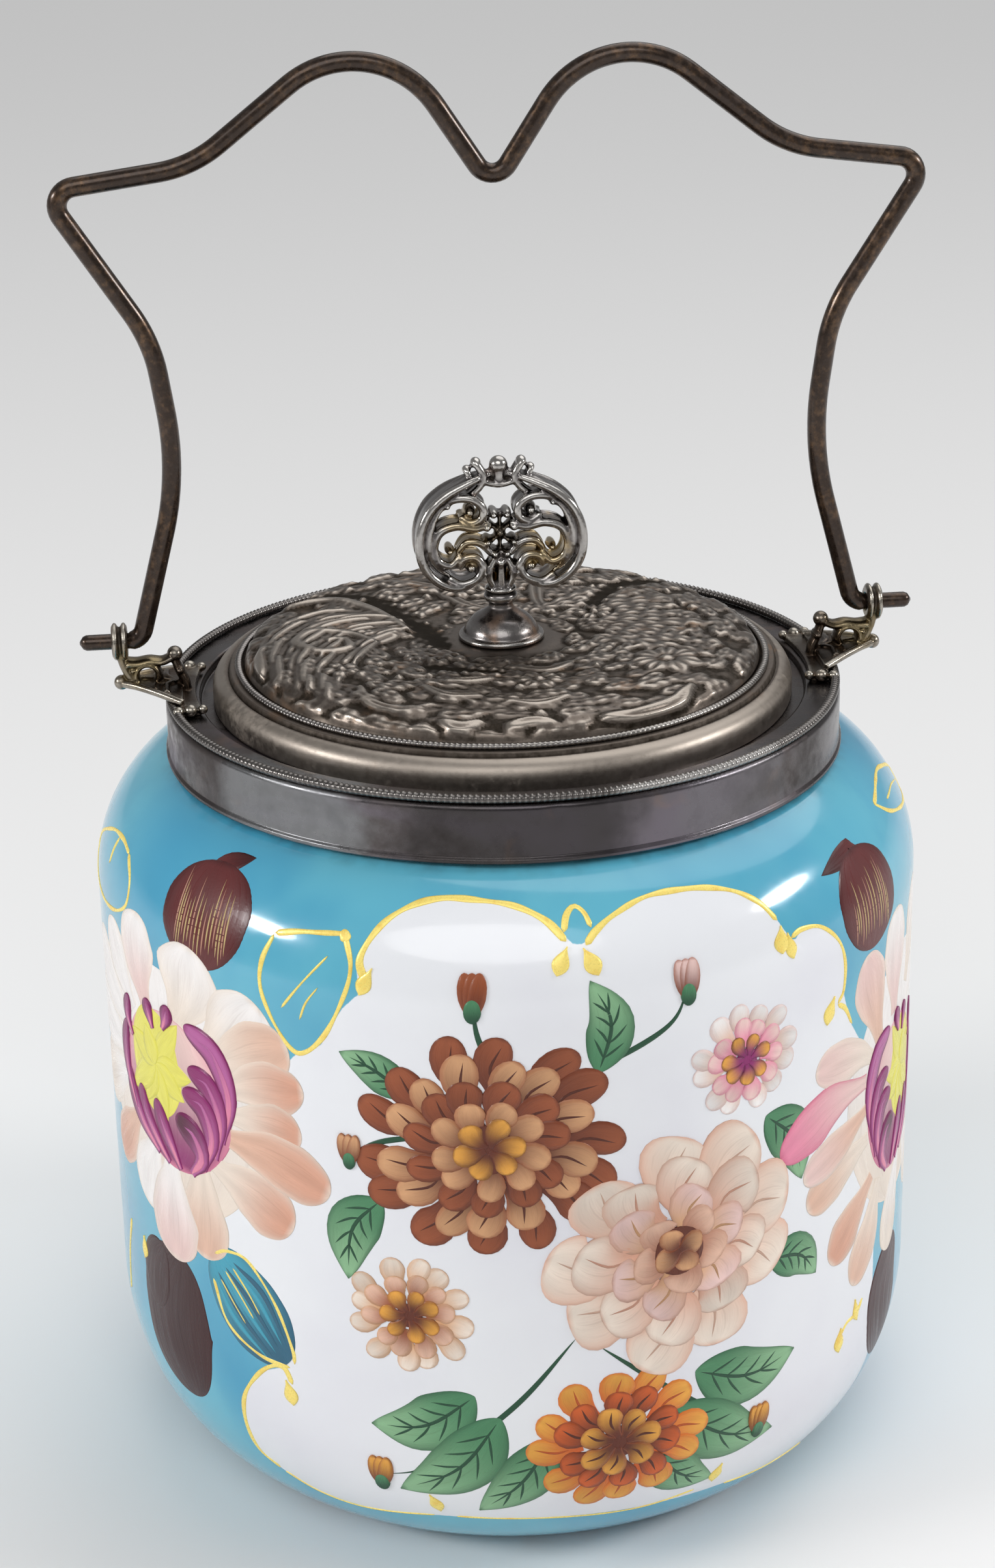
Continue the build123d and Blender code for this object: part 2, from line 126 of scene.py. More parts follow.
def line(start: Place, end: Place, steps: int) -> Floats:
    """Evenly spaced points on a straight run."""
    share = np.linspace(0.0, 1.0, steps)[:, None]
    return np.asarray(start, float) * (1 - share) + np.asarray(end, float) * share


def trail(*runs: Floats) -> Floats:
    """Runs joined end to end, without the points that repeat."""
    points = np.concatenate(runs)
    return points[np.concatenate([[True], np.linalg.norm(np.diff(points, axis=0), axis=1) > 1e-6])]


def rounded(corners: Sequence[Place], radius: float | Sequence[float], steps: int = 5,
            closed: bool = True, reach: float = 0.45) -> Floats:
    """A polygon with its corners turned into arcs.

    An arc starts and ends where a circle of its radius touches both sides: radius / tan(half the inner
    angle) from the corner, and no further than reach times the shorter side.

    Args:
        corners: the polygon's corners in order.
        radius: one radius, or one for each corner.
        steps: points on each arc.
        closed: whether the last corner joins the first.
        reach: how much of a side an arc may use.

    Returns:
        The rounded outline, one point per row.
    """
    p = np.asarray(corners, float)
    runs = []
    for k, (corner, r) in enumerate(zip(p, np.broadcast_to(radius, len(p)))):
        sides = [p[k - 1] - corner, p[(k + 1) % len(p)] - corner]
        back, on = unit(sides[0]), unit(sides[1])
        half = np.arccos(np.clip(back @ on, -1.0, 1.0)) / 2
        if half > np.pi / 2 - 0.01 or r <= 0 or (not closed and k in (0, len(p) - 1)):
            runs.append(p[k:k + 1])
            continue
        r = min(r, reach * min(np.linalg.norm(side) for side in sides) * np.tan(half))
        centre = corner + unit(back + on) * r / np.sin(half)
        start, end = (np.arctan2(*(corner + way * r / np.tan(half) - centre)[::-1]) for way in (back, on))
        turn = (end - start + np.pi) % (2 * np.pi) - np.pi
        angles = start + turn * np.linspace(0, 1, steps)
        runs.append(centre + r * np.stack([np.cos(angles), np.sin(angles)], axis=1))
    return np.concatenate(runs)


def refined(outline: Floats, step: float) -> Floats:
    """A closed outline with points added so that no run is longer than step."""
    pairs = zip(outline, np.roll(outline, -1, axis=0))
    return np.concatenate([line(a, b, 1 + int(np.ceil(np.linalg.norm(b - a) / step)))[:-1]
                           for a, b in pairs])


# ---- Surfaces ----

def linked(name: str, data: bpy.types.ID) -> Piece:
    """A new object in the scene."""
    piece = bpy.data.objects.new(name, data)
    bpy.context.scene.collection.objects.link(piece)
    return piece


def store(mesh: bpy.types.Mesh, name: str, values: Floats) -> None:
    """Writes a value or a colour for each point of a mesh."""
    kind, key = ("FLOAT", "value") if values.ndim == 1 else ("FLOAT_COLOR", "color")
    if values.ndim == 2:
        values = np.concatenate([values, np.ones((len(values), 1))], axis=1)
    mesh.attributes.new(name, kind, "POINT").data.foreach_set(key, values.astype(np.float32).ravel())


def read(items: bpy.types.bpy_prop_collection, key: str, width: int, kind: type = float) -> Floats:
    """One property of every item, in rows of a width."""
    values = np.zeros(len(items) * width, kind)
    items.foreach_get(key, values)
    return values.reshape(-1, width)


@dataclass
class Skin:
    """One or more closed surfaces in millimetres.

    Attributes:
        points: (n, 3) places.
        faces: (m, 4) corners; a triangle has -1 as its fourth.
        maps: (m, 4, 2) place of each corner on the piece's own map.
        fields: values or colours for each point, by name.
    """

    points: Floats
    faces: NDArray[np.int64]
    maps: Floats
    fields: dict[str, Floats] = field(default_factory=dict)

    @staticmethod
    def joined(skins: Sequence["Skin"]) -> "Skin":
        """Several skins as one, with their fields side by side."""
        starts = np.cumsum([0] + [len(s.points) for s in skins[:-1]])
        faces = [np.where(s.faces >= 0, s.faces + start, -1) for s, start in zip(skins, starts)]
        fields = {name: np.concatenate([s.fields[name] for s in skins]) for name in skins[0].fields}
        return Skin(np.concatenate([s.points for s in skins]), np.concatenate(faces),
                    np.concatenate([s.maps for s in skins]), fields)

    def outward(self) -> "Skin":
        """The same skin with its faces turned outwards.

        Six times the volume is the sum over the faces' triangles of p0 . (p1 x p2); where it is
        negative, the faces are wound the wrong way.
        """
        p = self.points - self.points.mean(axis=0)
        quads = self.faces[:, 3] >= 0
        a, b, c, d = (p[self.faces[:, k]] for k in range(4))
        volume = np.einsum("ij,ij->i", a, np.cross(b, c)).sum()
        volume += np.einsum("ij,ij->i", a[quads], np.cross(c[quads], d[quads])).sum()
        if volume < 0:
            quad, triangle = [0, 3, 2, 1], [0, 2, 1, 3]
            self.faces = np.where(quads[:, None], self.faces[:, quad], self.faces[:, triangle])
            self.maps = np.where(quads[:, None, None], self.maps[:, quad], self.maps[:, triangle])
        return self

    def build(self, name: str, crease: float | None = None) -> Piece:
        """Puts the skin into a Blender mesh, in metres.

        Args:
            name: the piece's name.
            crease: angle in degrees from which an edge stays sharp, or None for all smooth.

        Returns:
            The new object, linked to the scene.
        """
        mesh = bpy.data.meshes.new(name)
        kept = self.faces >= 0
        corners = self.faces[kept].astype(np.int32)
        starts = np.concatenate([[0], np.cumsum(kept.sum(axis=1))[:-1]]).astype(np.int32)
        for items, key, values in ((mesh.vertices, "co", self.points * MM),
                                   (mesh.loops, "vertex_index", corners),
                                   (mesh.polygons, "loop_start", starts)):
            items.add(len(values))
            items.foreach_set(key, values.ravel())
        mesh.update(calc_edges=True)
        mesh.uv_layers.new(name="map").uv.foreach_set("vector", self.maps[kept].ravel())
        mesh.shade_smooth()
        if crease is not None:
            mesh.set_sharp_from_angle(angle=np.radians(crease))
        for key, values in self.fields.items():
            store(mesh, key, values)
        return linked(name, mesh)


def weave(grid: Floats, ring: bool = False, fields: dict[str, Floats] | None = None) -> Skin:
    """Closes a grid of points into a skin.

    The columns go round and meet. The rows meet too if ring is set, and otherwise the first and the last
    row are each closed by a fan of triangles to their middle.

    Args:
        grid: (rows, columns, 3) places.
        ring: whether the last row joins the first.
        fields: (rows, columns) values or (rows, columns, 3) colours, by name.

    Returns:
        The closed skin, its faces outwards. Its map runs 0 to 1 round the columns and along the rows.
    """
    rows, columns = grid.shape[:2]
    index = np.arange(rows * columns).reshape(rows, columns)
    span = rows if ring else rows - 1
    low, high = index[:span], np.roll(index, -1, axis=0)[:span]
    faces = np.stack([low, np.roll(low, -1, axis=1), np.roll(high, -1, axis=1), high], axis=-1)
    faces = faces.reshape(-1, 4)
    u, v = np.arange(columns + 1) / columns, np.arange(rows + 1) / span
    maps = np.stack([np.stack(np.meshgrid(u[i:columns + i], v[j:span + j]), axis=-1)
                     for i, j in ((0, 0), (1, 0), (1, 1), (0, 1))], axis=2).reshape(-1, 4, 2)
    points = grid.reshape(-1, 3)
    values = {k: f.reshape((rows * columns,) + f.shape[2:]) for k, f in (fields or {}).items()}
    if not ring:
        for pole, row in enumerate((index[0], index[-1])):
            way = 1 - 2 * pole
            fan = [*[np.roll(row, -1), row][::way], 0 * row + rows * columns + pole, 0 * row - 1]
            fan_u = np.stack([*[u[1:], u[:-1]][::way], (u[1:] + u[:-1]) / 2, u[1:]], axis=1)
            faces = np.concatenate([faces, np.stack(fan, axis=1)])
            maps = np.concatenate([maps, np.stack([fan_u, 0 * fan_u + pole], axis=-1)])
        points = np.concatenate([points, [grid[0].mean(axis=0), grid[-1].mean(axis=0)]])
        values = {k: np.concatenate([f, [f[:columns].mean(axis=0), f[-columns:].mean(axis=0)]])
                  for k, f in values.items()}
    return Skin(points, faces, maps, values).outward()


def turned(profile: Floats, turns: Floats) -> Floats:
    """A profile of (radius, height) turned about Z.

    Args:
        profile: (n, 2) radii and heights.
        turns: the angles of the columns in radians, measured from -Y towards +X.

    Returns:
        (n, len(turns), 3): the points (r sin, -r cos, z).
    """
    r, z = profile[:, :1], profile[:, 1:]
    return np.stack([r * np.sin(turns), -r * np.cos(turns), z + 0 * turns], axis=-1)


def full_turn(columns: int) -> Floats:
    """Evenly spaced angles once round."""
    return np.arange(columns) * 2 * np.pi / columns


def swept(path: Floats, lift: Sequence[float], half_w: Floats | float, half_h: Floats | float,
          section: Floats, ring: bool = False) -> Skin:
    """A section carried along a path.

    At each place across is the path's direction crossed with lift, and up is across crossed with the
    direction. The section's first value goes across and its second one up.

    Args:
        path: (n, 3) places.
        lift: direction that the section's second value leans to.
        half_w: half the section's width, once or for each place.
        half_h: half its height.
        section: (k, 2) closed unit outline.
        ring: whether the path meets its own start.

    Returns:
        The closed skin.
    """
    along = unit(np.roll(path, -1, 0) - np.roll(path, 1, 0)) if ring else unit(np.gradient(path, axis=0))
    across = unit(np.cross(along, np.broadcast_to(lift, path.shape)))
    w, h = (np.broadcast_to(half, (len(path),))[:, None, None] for half in (half_w, half_h))
    wide = across[:, None] * section[None, :, :1] * w
    high = np.cross(across, along)[:, None] * section[None, :, 1:] * h
    return weave(path[:, None] + wide + high, ring)


def oval(count: int) -> Floats:
    """A unit circle of points."""
    return arc((0, 0), 1.0, 0, 360 - 360 / count, count)


def bar(points: Sequence[Place], half_w: Floats | float, half_h: Floats | float, count: int = 40,
        depth: Floats | float = 0.0, sides: int = 12) -> Skin:
    """A rod through (x, z) points in the plane y = depth.

    Args:
        points: the places of its line.
        half_w: half its width along Y, once or for each of its places.
        half_h: half its height in the plane.
        count: how many places its line has.
        depth: its distance along Y, once or for each place.
        sides: points round its oval section.

    Returns:
        The closed skin.
    """
    return swept(in_plane(through(points, count), depth), (0.0, 1.0, 0.0), half_h, half_w, oval(sides))


def in_plane(flat: Floats, depth: Floats | float = 0.0) -> Floats:
    """Points (x, z) as places (x, depth, z)."""
    return np.stack([flat[:, 0], 0 * flat[:, 0] + depth, flat[:, 1]], axis=1)


def ball(centre: Sequence[float], radii: float | Sequence[float], rows: int = 12) -> Skin:
    """An ellipsoid: centre + radii * (sin p cos q, sin p sin q, cos p)."""
    p = np.linspace(np.pi / rows / 2, np.pi - np.pi / rows / 2, rows)[:, None]
    q = full_turn(rows * 2)[None, :]
    sphere = np.stack([np.sin(p) * np.cos(q), np.sin(p) * np.sin(q), np.cos(p) + 0 * q], axis=-1)
    return weave(np.asarray(centre, float) + sphere * np.asarray(radii, float))


def fused(name: str, skins: Sequence[Skin], voxel: float) -> Piece:
    """Melts overlapping skins into one casting.

    A voxel remesh takes their union. Each point then moves half way to the middle of its neighbours,
    twice. The relief field is how far a point stands out of that middle along its normal, in voxels,
    smoothed the same way: hollows are low, crests high.

    Args:
        name: the piece's name.
        skins: closed skins that overlap where they join.
        voxel: the voxel's size in millimetres.

    Returns:
        The casting, with its relief from 0 to 1.
    """
    rough = Skin.joined(skins).build(name + "_rough")
    modifier = rough.modifiers.new("melt", "REMESH")
    modifier.mode = "VOXEL"
    modifier.voxel_size = voxel * MM
    mesh = bpy.data.meshes.new_from_object(rough.evaluated_get(bpy.context.evaluated_depsgraph_get()))
    mesh.name = name
    old = rough.data
    bpy.data.objects.remove(rough)
    bpy.data.meshes.remove(old)
    places, edges = read(mesh.vertices, "co", 3), read(mesh.edges, "vertices", 2, np.int32)
    count = len(places)
    degree = np.bincount(edges.ravel(), minlength=count)[:, None].clip(1)

    def middle(values: Floats) -> Floats:
        """The mean of each point's neighbours."""
        sums = [sum(np.bincount(edges[:, k], column[edges[:, 1 - k]], count) for k in (0, 1))
                for column in values.T]
        return np.stack(sums, axis=1) / degree

    for _ in range(2):
        places = 0.5 * places + 0.5 * middle(places)
    mesh.vertices.foreach_set("co", places.ravel())
    mesh.update()
    normals = read(mesh.vertices, "normal", 3)
    proud = np.einsum("ij,ij->i", places - middle(places), normals)[:, None]
    for _ in range(3):
        proud = middle(proud)
    store(mesh, "relief", np.clip(0.5 + proud[:, 0] / (voxel * MM) * 6.0, 0.0, 1.0))
    mesh.shade_smooth()
    return linked(name, mesh)


# ---- Node wiring ----

class Wiring:
    """Adds nodes to one tree and feeds their sockets from values or from other sockets."""

    def __init__(self, tree: Tree) -> None:
        """Keeps the tree that the nodes go to."""
        self.tree = tree

    def feed(self, socket: Socket, value: object) -> None:
        """Links a socket, or sets its own value."""
        if isinstance(value, Socket):
            self.tree.links.new(value, socket)
        elif isinstance(value, tuple) and len(value) == 3 and socket.type == "RGBA":
            socket.default_value = (*value, 1.0)
        else:
            socket.default_value = value

    def add(self, kind: str, feeds: dict[str | int, object], **settings: object) -> bpy.types.Node:
        """A shader node of a kind, with its settings and the values or links of its inputs."""
        node = self.tree.nodes.new("ShaderNode" + kind)
        for key, value in settings.items():
            setattr(node, key, value)
        for key, value in feeds.items():
            self.feed(node.inputs[key], value)
        return node

    def math(self, operation: str, a: object, b: object = 0.0, clamp: bool = False) -> Socket:
        """One arithmetic step."""
        return self.add("Math", {0: a, 1: b}, operation=operation, use_clamp=clamp).outputs[0]

    def plus(self, base: object, value: object, share: float = 1.0) -> Socket:
        """base + value * share."""
        return self.math("ADD", base, self.math("MULTIPLY", value, share))

    def vector(self, operation: str, *vectors: object) -> bpy.types.Node:
        """One step of vector arithmetic."""
        return self.add("VectorMath", dict(enumerate(vectors)), operation=operation)

    def mix(self, share: object, a: object, b: object, blend: str = "MIX") -> Socket:
        """Two colours mixed by a share."""
        return self.add("Mix", {0: share, 6: a, 7: b}, data_type="RGBA", blend_type=blend).outputs[2]

    def ramp(self, value: object, low: float, high: float, out_low: float = 0.0,
             out_high: float = 1.0) -> Socket:
        """A value carried smoothly from one range to another, and held at its ends."""
        feeds = {0: value, 1: low, 2: high, 3: out_low, 4: out_high}
        return self.add("MapRange", feeds, interpolation_type="SMOOTHSTEP").outputs["Result"]

    def noise(self, vector: Socket, scale: object, detail: float = 2.0, roughness: float = 0.5,
              distortion: float = 0.0) -> Socket:
        """Cloudy noise around 0.5."""
        return self.add("TexNoise", {"Vector": vector, "Scale": scale, "Detail": detail,
                                     "Roughness": roughness, "Distortion": distortion}).outputs["Fac"]

    def place(self, kind: str = "Object") -> Socket:
        """The piece's own coordinates of a kind."""
        return self.add("TexCoord", {}).outputs[kind]

    def stretch(self, vector: Socket, *scale: float) -> Socket:
        """A vector scaled by axis."""
        return self.add("Mapping", {"Vector": vector, "Scale": scale}).outputs[0]

    def field(self, name: str, output: str = "Fac") -> Socket:
        """A value or colour that the mesh holds for each point."""
        return self.add("Attribute", {}, attribute_name=name).outputs[output]

    def effect(self, tree: Tree, **feeds: object) -> list[Socket]:
        """The outputs of an effect that is placed in this tree, with its inputs by name."""
        return list(self.add("Group", feeds, node_tree=tree).outputs)

    def bump(self, height: Socket, distance: float, strength: float) -> Socket:
        """A normal bent by a height in metres."""
        feeds = {"Height": height, "Distance": distance, "Strength": strength}
        return self.add("Bump", feeds).outputs["Normal"]


class Effects:
    """Node groups that more than one finish uses, each built once."""

    def __init__(self) -> None:
        """Builds all effects, each from its inputs: a vector where the value is None, or a number."""
        self.patina = self.group(self._patina, Vector=None, Scale=60.0, Cover=0.5)
        self.handling = self.group(self._handling, Relief=0.5, Mottle=0.5)
        self.brushwork = self.group(self._brushwork, Vector=None, Across=14.0, Along=1.4)
        self.dust_and_shade = self.group(self._dust_and_shade, Vector=None, Height=0.0, Reach=0.01)
        self.patch = self.group(self._patch, Vector=None, Middle=None, Reach=0.01)

    @staticmethod
    def group(recipe: Callable[..., dict[str, Socket]], **inputs: float | None) -> Tree:
        """A node group that a recipe fills.

        Args:
            recipe: takes the wiring and the inputs' sockets, and gives the outputs by name.
            inputs: each input's own value, or None for a vector.

        Returns:
            The group's tree.
        """
        tree = bpy.data.node_groups.new(recipe.__name__.strip("_"), "ShaderNodeTree")
        for key, value in inputs.items():
            kind = "NodeSocketVector" if value is None else "NodeSocketFloat"
            socket = tree.interface.new_socket(key, in_out="INPUT", socket_type=kind)
            if value is not None:
                socket.default_value = value
        given, made = tree.nodes.new("NodeGroupInput"), tree.nodes.new("NodeGroupOutput")
        w = Wiring(tree)
        for key, socket in recipe(w, *(given.outputs[key] for key in inputs)).items():
            tree.interface.new_socket(key, in_out="OUTPUT", socket_type="NodeSocketFloat")
            w.feed(made.inputs[key], socket)
        return tree

    @staticmethod
    def _patina(w: Wiring, vector: Socket, scale: Socket, cover: Socket) -> dict[str, Socket]:
        """Clouded tarnish: broad blotches broken up by finer ones."""
        broad = w.noise(vector, scale, 5.0, 0.6, 0.6)
        fine = w.noise(vector, w.math("MULTIPLY", scale, 9.0), 4.0, 0.65)
        both = w.plus(w.math("MULTIPLY", broad, 0.75), fine, 0.25)
        limit = w.math("MULTIPLY", w.math("SUBTRACT", 1.0, cover), 0.9)
        stain = w.math("MULTIPLY", w.math("SUBTRACT", both, limit), 6.0, clamp=True)
        return {"Stain": stain, "Mottle": fine}

    @staticmethod
    def _handling(w: Wiring, relief: Socket, mottle: Socket) -> dict[str, Socket]:
        """Hollows that hold dust and crests rubbed bright, from a relief of 0 to 1."""
        relief = w.plus(relief, w.math("SUBTRACT", mottle, 0.5), 0.35)
        return {"Hollow": w.ramp(relief, 0.38, 0.02), "Crest": w.ramp(relief, 0.45, 0.95)}

    @staticmethod
    def _brushwork(w: Wiring, vector: Socket, across: Socket, along: Socket) -> dict[str, Socket]:
        """Streaks that a loaded brush leaves along its stroke."""
        scale = w.add("CombineXYZ", {0: across, 1: along, 2: 1.0}).outputs[0]
        return {"Streak": w.noise(w.vector("MULTIPLY", vector, scale).outputs[0], 1.0, 4.0, 0.6, 0.25),
                "Blot": w.noise(vector, 5.0, 3.0, 0.55)}

    @staticmethod
    def _dust_and_shade(w: Wiring, vector: Socket, height: Socket, reach: Socket) -> dict[str, Socket]:
        """Darker spots near a height, part dust and part painted shade: full at that height and gone at the
        reach.
        """
        z = w.add("SeparateXYZ", {0: vector}).outputs[2]
        away = w.math("DIVIDE", w.math("ABSOLUTE", w.math("SUBTRACT", z, height)), reach)
        spots = w.ramp(w.noise(vector, 260.0, 3.0), 0.35, 0.75)
        return {"DustAndShade": w.math("MULTIPLY", w.math("SUBTRACT", 1.0, away, clamp=True), spots)}

    @staticmethod
    def _patch(w: Wiring, vector: Socket, middle: Socket, reach: Socket) -> dict[str, Socket]:
        """A patch of colour round a place, used for tint and for painted light and shade: full near it,
        ragged, and gone at the reach.
        """
        away = w.vector("DISTANCE", vector, middle).outputs["Value"]
        cloud = w.noise(vector, w.math("DIVIDE", 1.6, reach), 4.0, 0.6)
        ragged = w.plus(w.math("DIVIDE", away, reach), w.math("SUBTRACT", cloud, 0.5), 1.1)
        return {"Mask": w.ramp(ragged, 1.0, 0.55)}


# ---- Finishes ----

@dataclass(frozen=True)
class Finish:
    """Base of every finish: a named material with one Principled shader."""

    name: str

    def surface(self, w: Wiring, effects: Effects, place: Socket) -> dict[str, object]:
        """What the shader's inputs get, by their names; each finish says how.

        Args:
            w: the material's wiring.
            effects: the shared node groups.
            place: the piece's own coordinates.

        Returns:
            A socket for what varies over the surface, and a plain value for what doesn't.
        """
        raise NotImplementedError

    def make(self, effects: Effects) -> Material:
        """The material, its shader fed with the surface."""
        material = bpy.data.materials.new(self.name)
        material.use_nodes = True
        w = Wiring(material.node_tree)
        shader = material.node_tree.nodes["Principled BSDF"]
        for key, value in self.surface(w, effects, w.place()).items():
            w.feed(shader.inputs[key], value)
        return material


@dataclass(frozen=True)
class Patch:
    """A patch of one colour round a place, in metres, used both for warm colour and for painted highlights,
    reflections and shade.
    """

    middle: tuple[float, float, float]
    reach: float
    colour: Colour
    share: float = 1.0


@dataclass(frozen=True)
class SilverPlate(Finish):
    """Old silver plate: satin metal, clouded tarnish, dark hollows and rubbed crests; it can also carry
    painted sheen streaks and patches of tint and painted light.
    """

    metal: Colour = (0.205, 0.190, 0.185)
    tarnish: Colour = (0.115, 0.094, 0.086)
    bright: Colour = (0.50, 0.48, 0.455)
    hollow: Colour = (0.045, 0.037, 0.031)
    gloss: float = 0.30
    cover: float = 0.45
    scale: float = 60.0
    has_relief: bool = False
    warmth: float = 0.0
    # cloud sets the strength of a painted sheen: mauve and dark streaks that stand in for soft reflections.
    cloud: float = 0.0
    warm: Colour = (0.42, 0.22, 0.10)
    sheen_mauve: Colour = (0.19, 0.165, 0.205)
    patches: tuple[Patch, ...] = ()

    def surface(self, w: Wiring, effects: Effects, place: Socket) -> dict[str, object]:
        """Metal under tarnish, then painted sheen streaks, warm tones, hollows and crests, and last the
        patches of tint and painted light and shade.
        """
        stain, mottle = w.effect(effects.patina, Vector=place, Scale=self.scale, Cover=self.cover)
        colour = w.mix(stain, self.metal, self.tarnish)
        rough = w.ramp(stain, 0.0, 1.0, self.gloss, self.gloss + 0.22)
        rough = w.plus(rough, w.math("SUBTRACT", mottle, 0.5), 0.25)
        # Painted sheen: mauve and dark streaks across the metal that stand in for soft reflections.
        if self.cloud > 0:
            sheen_streaks = w.noise(w.stretch(place, 1.0, 1.0, 2.5), 24.0, 3.0, 0.55, 0.5)
            colour = w.mix(w.ramp(sheen_streaks, 0.5, 0.66, 0.0, self.cloud), colour, self.sheen_mauve)
            colour = w.mix(w.ramp(sheen_streaks, 0.48, 0.34, 0.0, self.cloud), colour, self.hollow)
        if self.warmth > 0:
            glow = w.ramp(w.noise(place, 140.0, 3.0, 0.5, 0.4), 0.62 - 0.2 * self.warmth, 0.78)
            colour = w.mix(w.math("MULTIPLY", glow, self.warmth), colour, self.warm)
        if self.has_relief:
            hollow, crest = w.effect(effects.handling, Relief=w.field("relief"), Mottle=mottle)
            colour = w.mix(hollow, w.mix(crest, colour, self.bright), self.hollow)
            rough = w.math("SUBTRACT", w.plus(rough, hollow, 0.35), w.math("MULTIPLY", crest, 0.06))
        rough = w.plus(rough, w.field("satin"), 0.12)
        for patch in self.patches:
            mask, = w.effect(effects.patch, Vector=place, Middle=patch.middle, Reach=patch.reach)
            colour = w.mix(w.math("MULTIPLY", mask, patch.share), colour, patch.colour)
        return {"Base Color": colour, "Roughness": w.math("MAXIMUM", rough, 0.16), "Metallic": 1.0,
                "Normal": w.bump(w.noise(place, 1800.0, 4.0, 0.7), 0.00003, 0.6)}


@dataclass(frozen=True)
class BronzedWire(Finish):
    """Drawn wire with a dark bronze skin, rubbed through to warm metal in places."""

    skin: Colour = (0.040, 0.026, 0.019)
    rubbed: Colour = (0.20, 0.115, 0.06)
    dull: Colour = (0.085, 0.066, 0.058)
    gloss: float = 0.22

    def surface(self, w: Wiring, effects: Effects, place: Socket) -> dict[str, object]:
        """Streaks along the wire rub through its skin, and dull clouds lie over both."""
        stain, mottle = w.effect(effects.patina, Vector=place, Scale=90.0, Cover=0.5)
        streaks = w.noise(w.stretch(w.place("UV"), 9.0, 240.0, 1.0), 1.0, 4.0, 0.6)
        rubs = w.ramp(w.math("ADD", w.math("MULTIPLY", stain, 0.2), streaks), 0.5, 1.1)
        colour = w.mix(w.ramp(mottle, 0.45, 0.8, 0.0, 0.45), w.mix(rubs, self.skin, self.rubbed), self.dull)
        return {"Base Color": colour, "Roughness": w.ramp(mottle, 0.3, 0.7, self.gloss, self.gloss + 0.2),
                "Normal": w.bump(streaks, 0.00004, 0.25), "Metallic": 0.9, "Coat Weight": 0.35,
                "Coat Roughness": 0.12}


@dataclass(frozen=True)
class PaintedGlass(Finish):
    """Opal glass with a fired ground colour round a white reserve."""

    ground: Colour = display(98, 180, 203)
    ground_deep: Colour = display(64, 152, 188)
    opal: Colour = display(234, 236, 240)
    blush: Colour = display(224, 224, 232)
    dust_and_painted_shade: Colour = display(70, 60, 48)
    collar_z: float = 0.1245

    def surface(self, w: Wiring, effects: Effects, place: Socket) -> dict[str, object]:
        """Ground colour outside the reserve, opal inside it and on the bare glass, and darker spots at both
        ends, part dust and part painted shade.

        The reserve field is the distance in millimetres inside the white field's outline, and the coat
        field is 1 where the outside is painted and 0 on the bare glass.
        """
        fine = w.stretch(place, 30, 30, 30)
        streak, blot = w.effect(effects.brushwork, Vector=fine, Across=2.2, Along=2.2)
        broad = w.noise(place, 22.0, 3.0, 0.5, 0.3)
        ground = w.mix(w.ramp(broad, 0.35, 0.7), self.ground, self.ground_deep)
        ground = w.mix(w.ramp(streak, 0.5, 0.8, 0.0, 0.35), ground, self.ground_deep)
        opal = w.mix(w.ramp(broad, 0.4, 0.75), self.opal, self.blush)
        edge = w.plus(w.field("reserve"), w.math("SUBTRACT", w.noise(place, 700.0, 3.0, 0.6), 0.5), 0.35)
        painted = w.math("MULTIPLY", w.ramp(edge, 0.10, -0.10), w.field("coat"))
        # Darker spots under the collar's edge and round the foot: part dust, part painted shade where the
        # glass meets the collar and turns under.
        top, = w.effect(effects.dust_and_shade, Vector=place, Height=self.collar_z, Reach=0.0024)
        foot, = w.effect(effects.dust_and_shade, Vector=place, Height=0.0, Reach=0.006)
        dust_and_painted_shade = w.math("MULTIPLY", w.math("MAXIMUM", top, foot), 0.75)
        return {"Base Color": w.mix(dust_and_painted_shade, w.mix(painted, opal, ground), self.dust_and_painted_shade),
                "Roughness": w.ramp(blot, 0.3, 0.7, 0.10, 0.20), "Normal": w.bump(broad, 0.0004, 0.25),
                "Coat Weight": 0.3, "Coat Roughness": 0.06}


@dataclass(frozen=True)
class Enamel(Finish):
    """Hand-painted enamel: the brush's colour with streaks and a soft gloss."""

    gloss: float = 0.24
    streaks: float = 0.15

    def surface(self, w: Wiring, effects: Effects, place: Socket) -> dict[str, object]:
        """Each stroke's colour, from the paint field, darker and lighter along the brush's streaks."""
        streak, _ = w.effect(effects.brushwork, Vector=w.place("UV"), Across=26.0, Along=2.5)
        paint = w.field("paint", "Color")
        darker = w.mix(1.0, paint, (0.62, 0.56, 0.54), "MULTIPLY")
        lighter = w.mix(1.0, paint, (0.22, 0.20, 0.20), "DODGE")
        colour = w.mix(w.ramp(streak, 0.5, 0.75, 0.0, self.streaks * 2), paint, darker)
        height = w.math("ADD", w.math("MULTIPLY", w.field("crown"), 1.2), streak)
        height = w.plus(height, w.noise(place, 2500.0), 0.4)
        return {"Base Color": w.mix(w.ramp(streak, 0.46, 0.25, 0.0, self.streaks * 1.6), colour, lighter),
                "Roughness": w.ramp(streak, 0.3, 0.7, self.gloss, self.gloss + 0.16),
                "Normal": w.bump(height, 0.00005, 0.7), "Coat Weight": 0.05, "Specular IOR Level": 0.3}


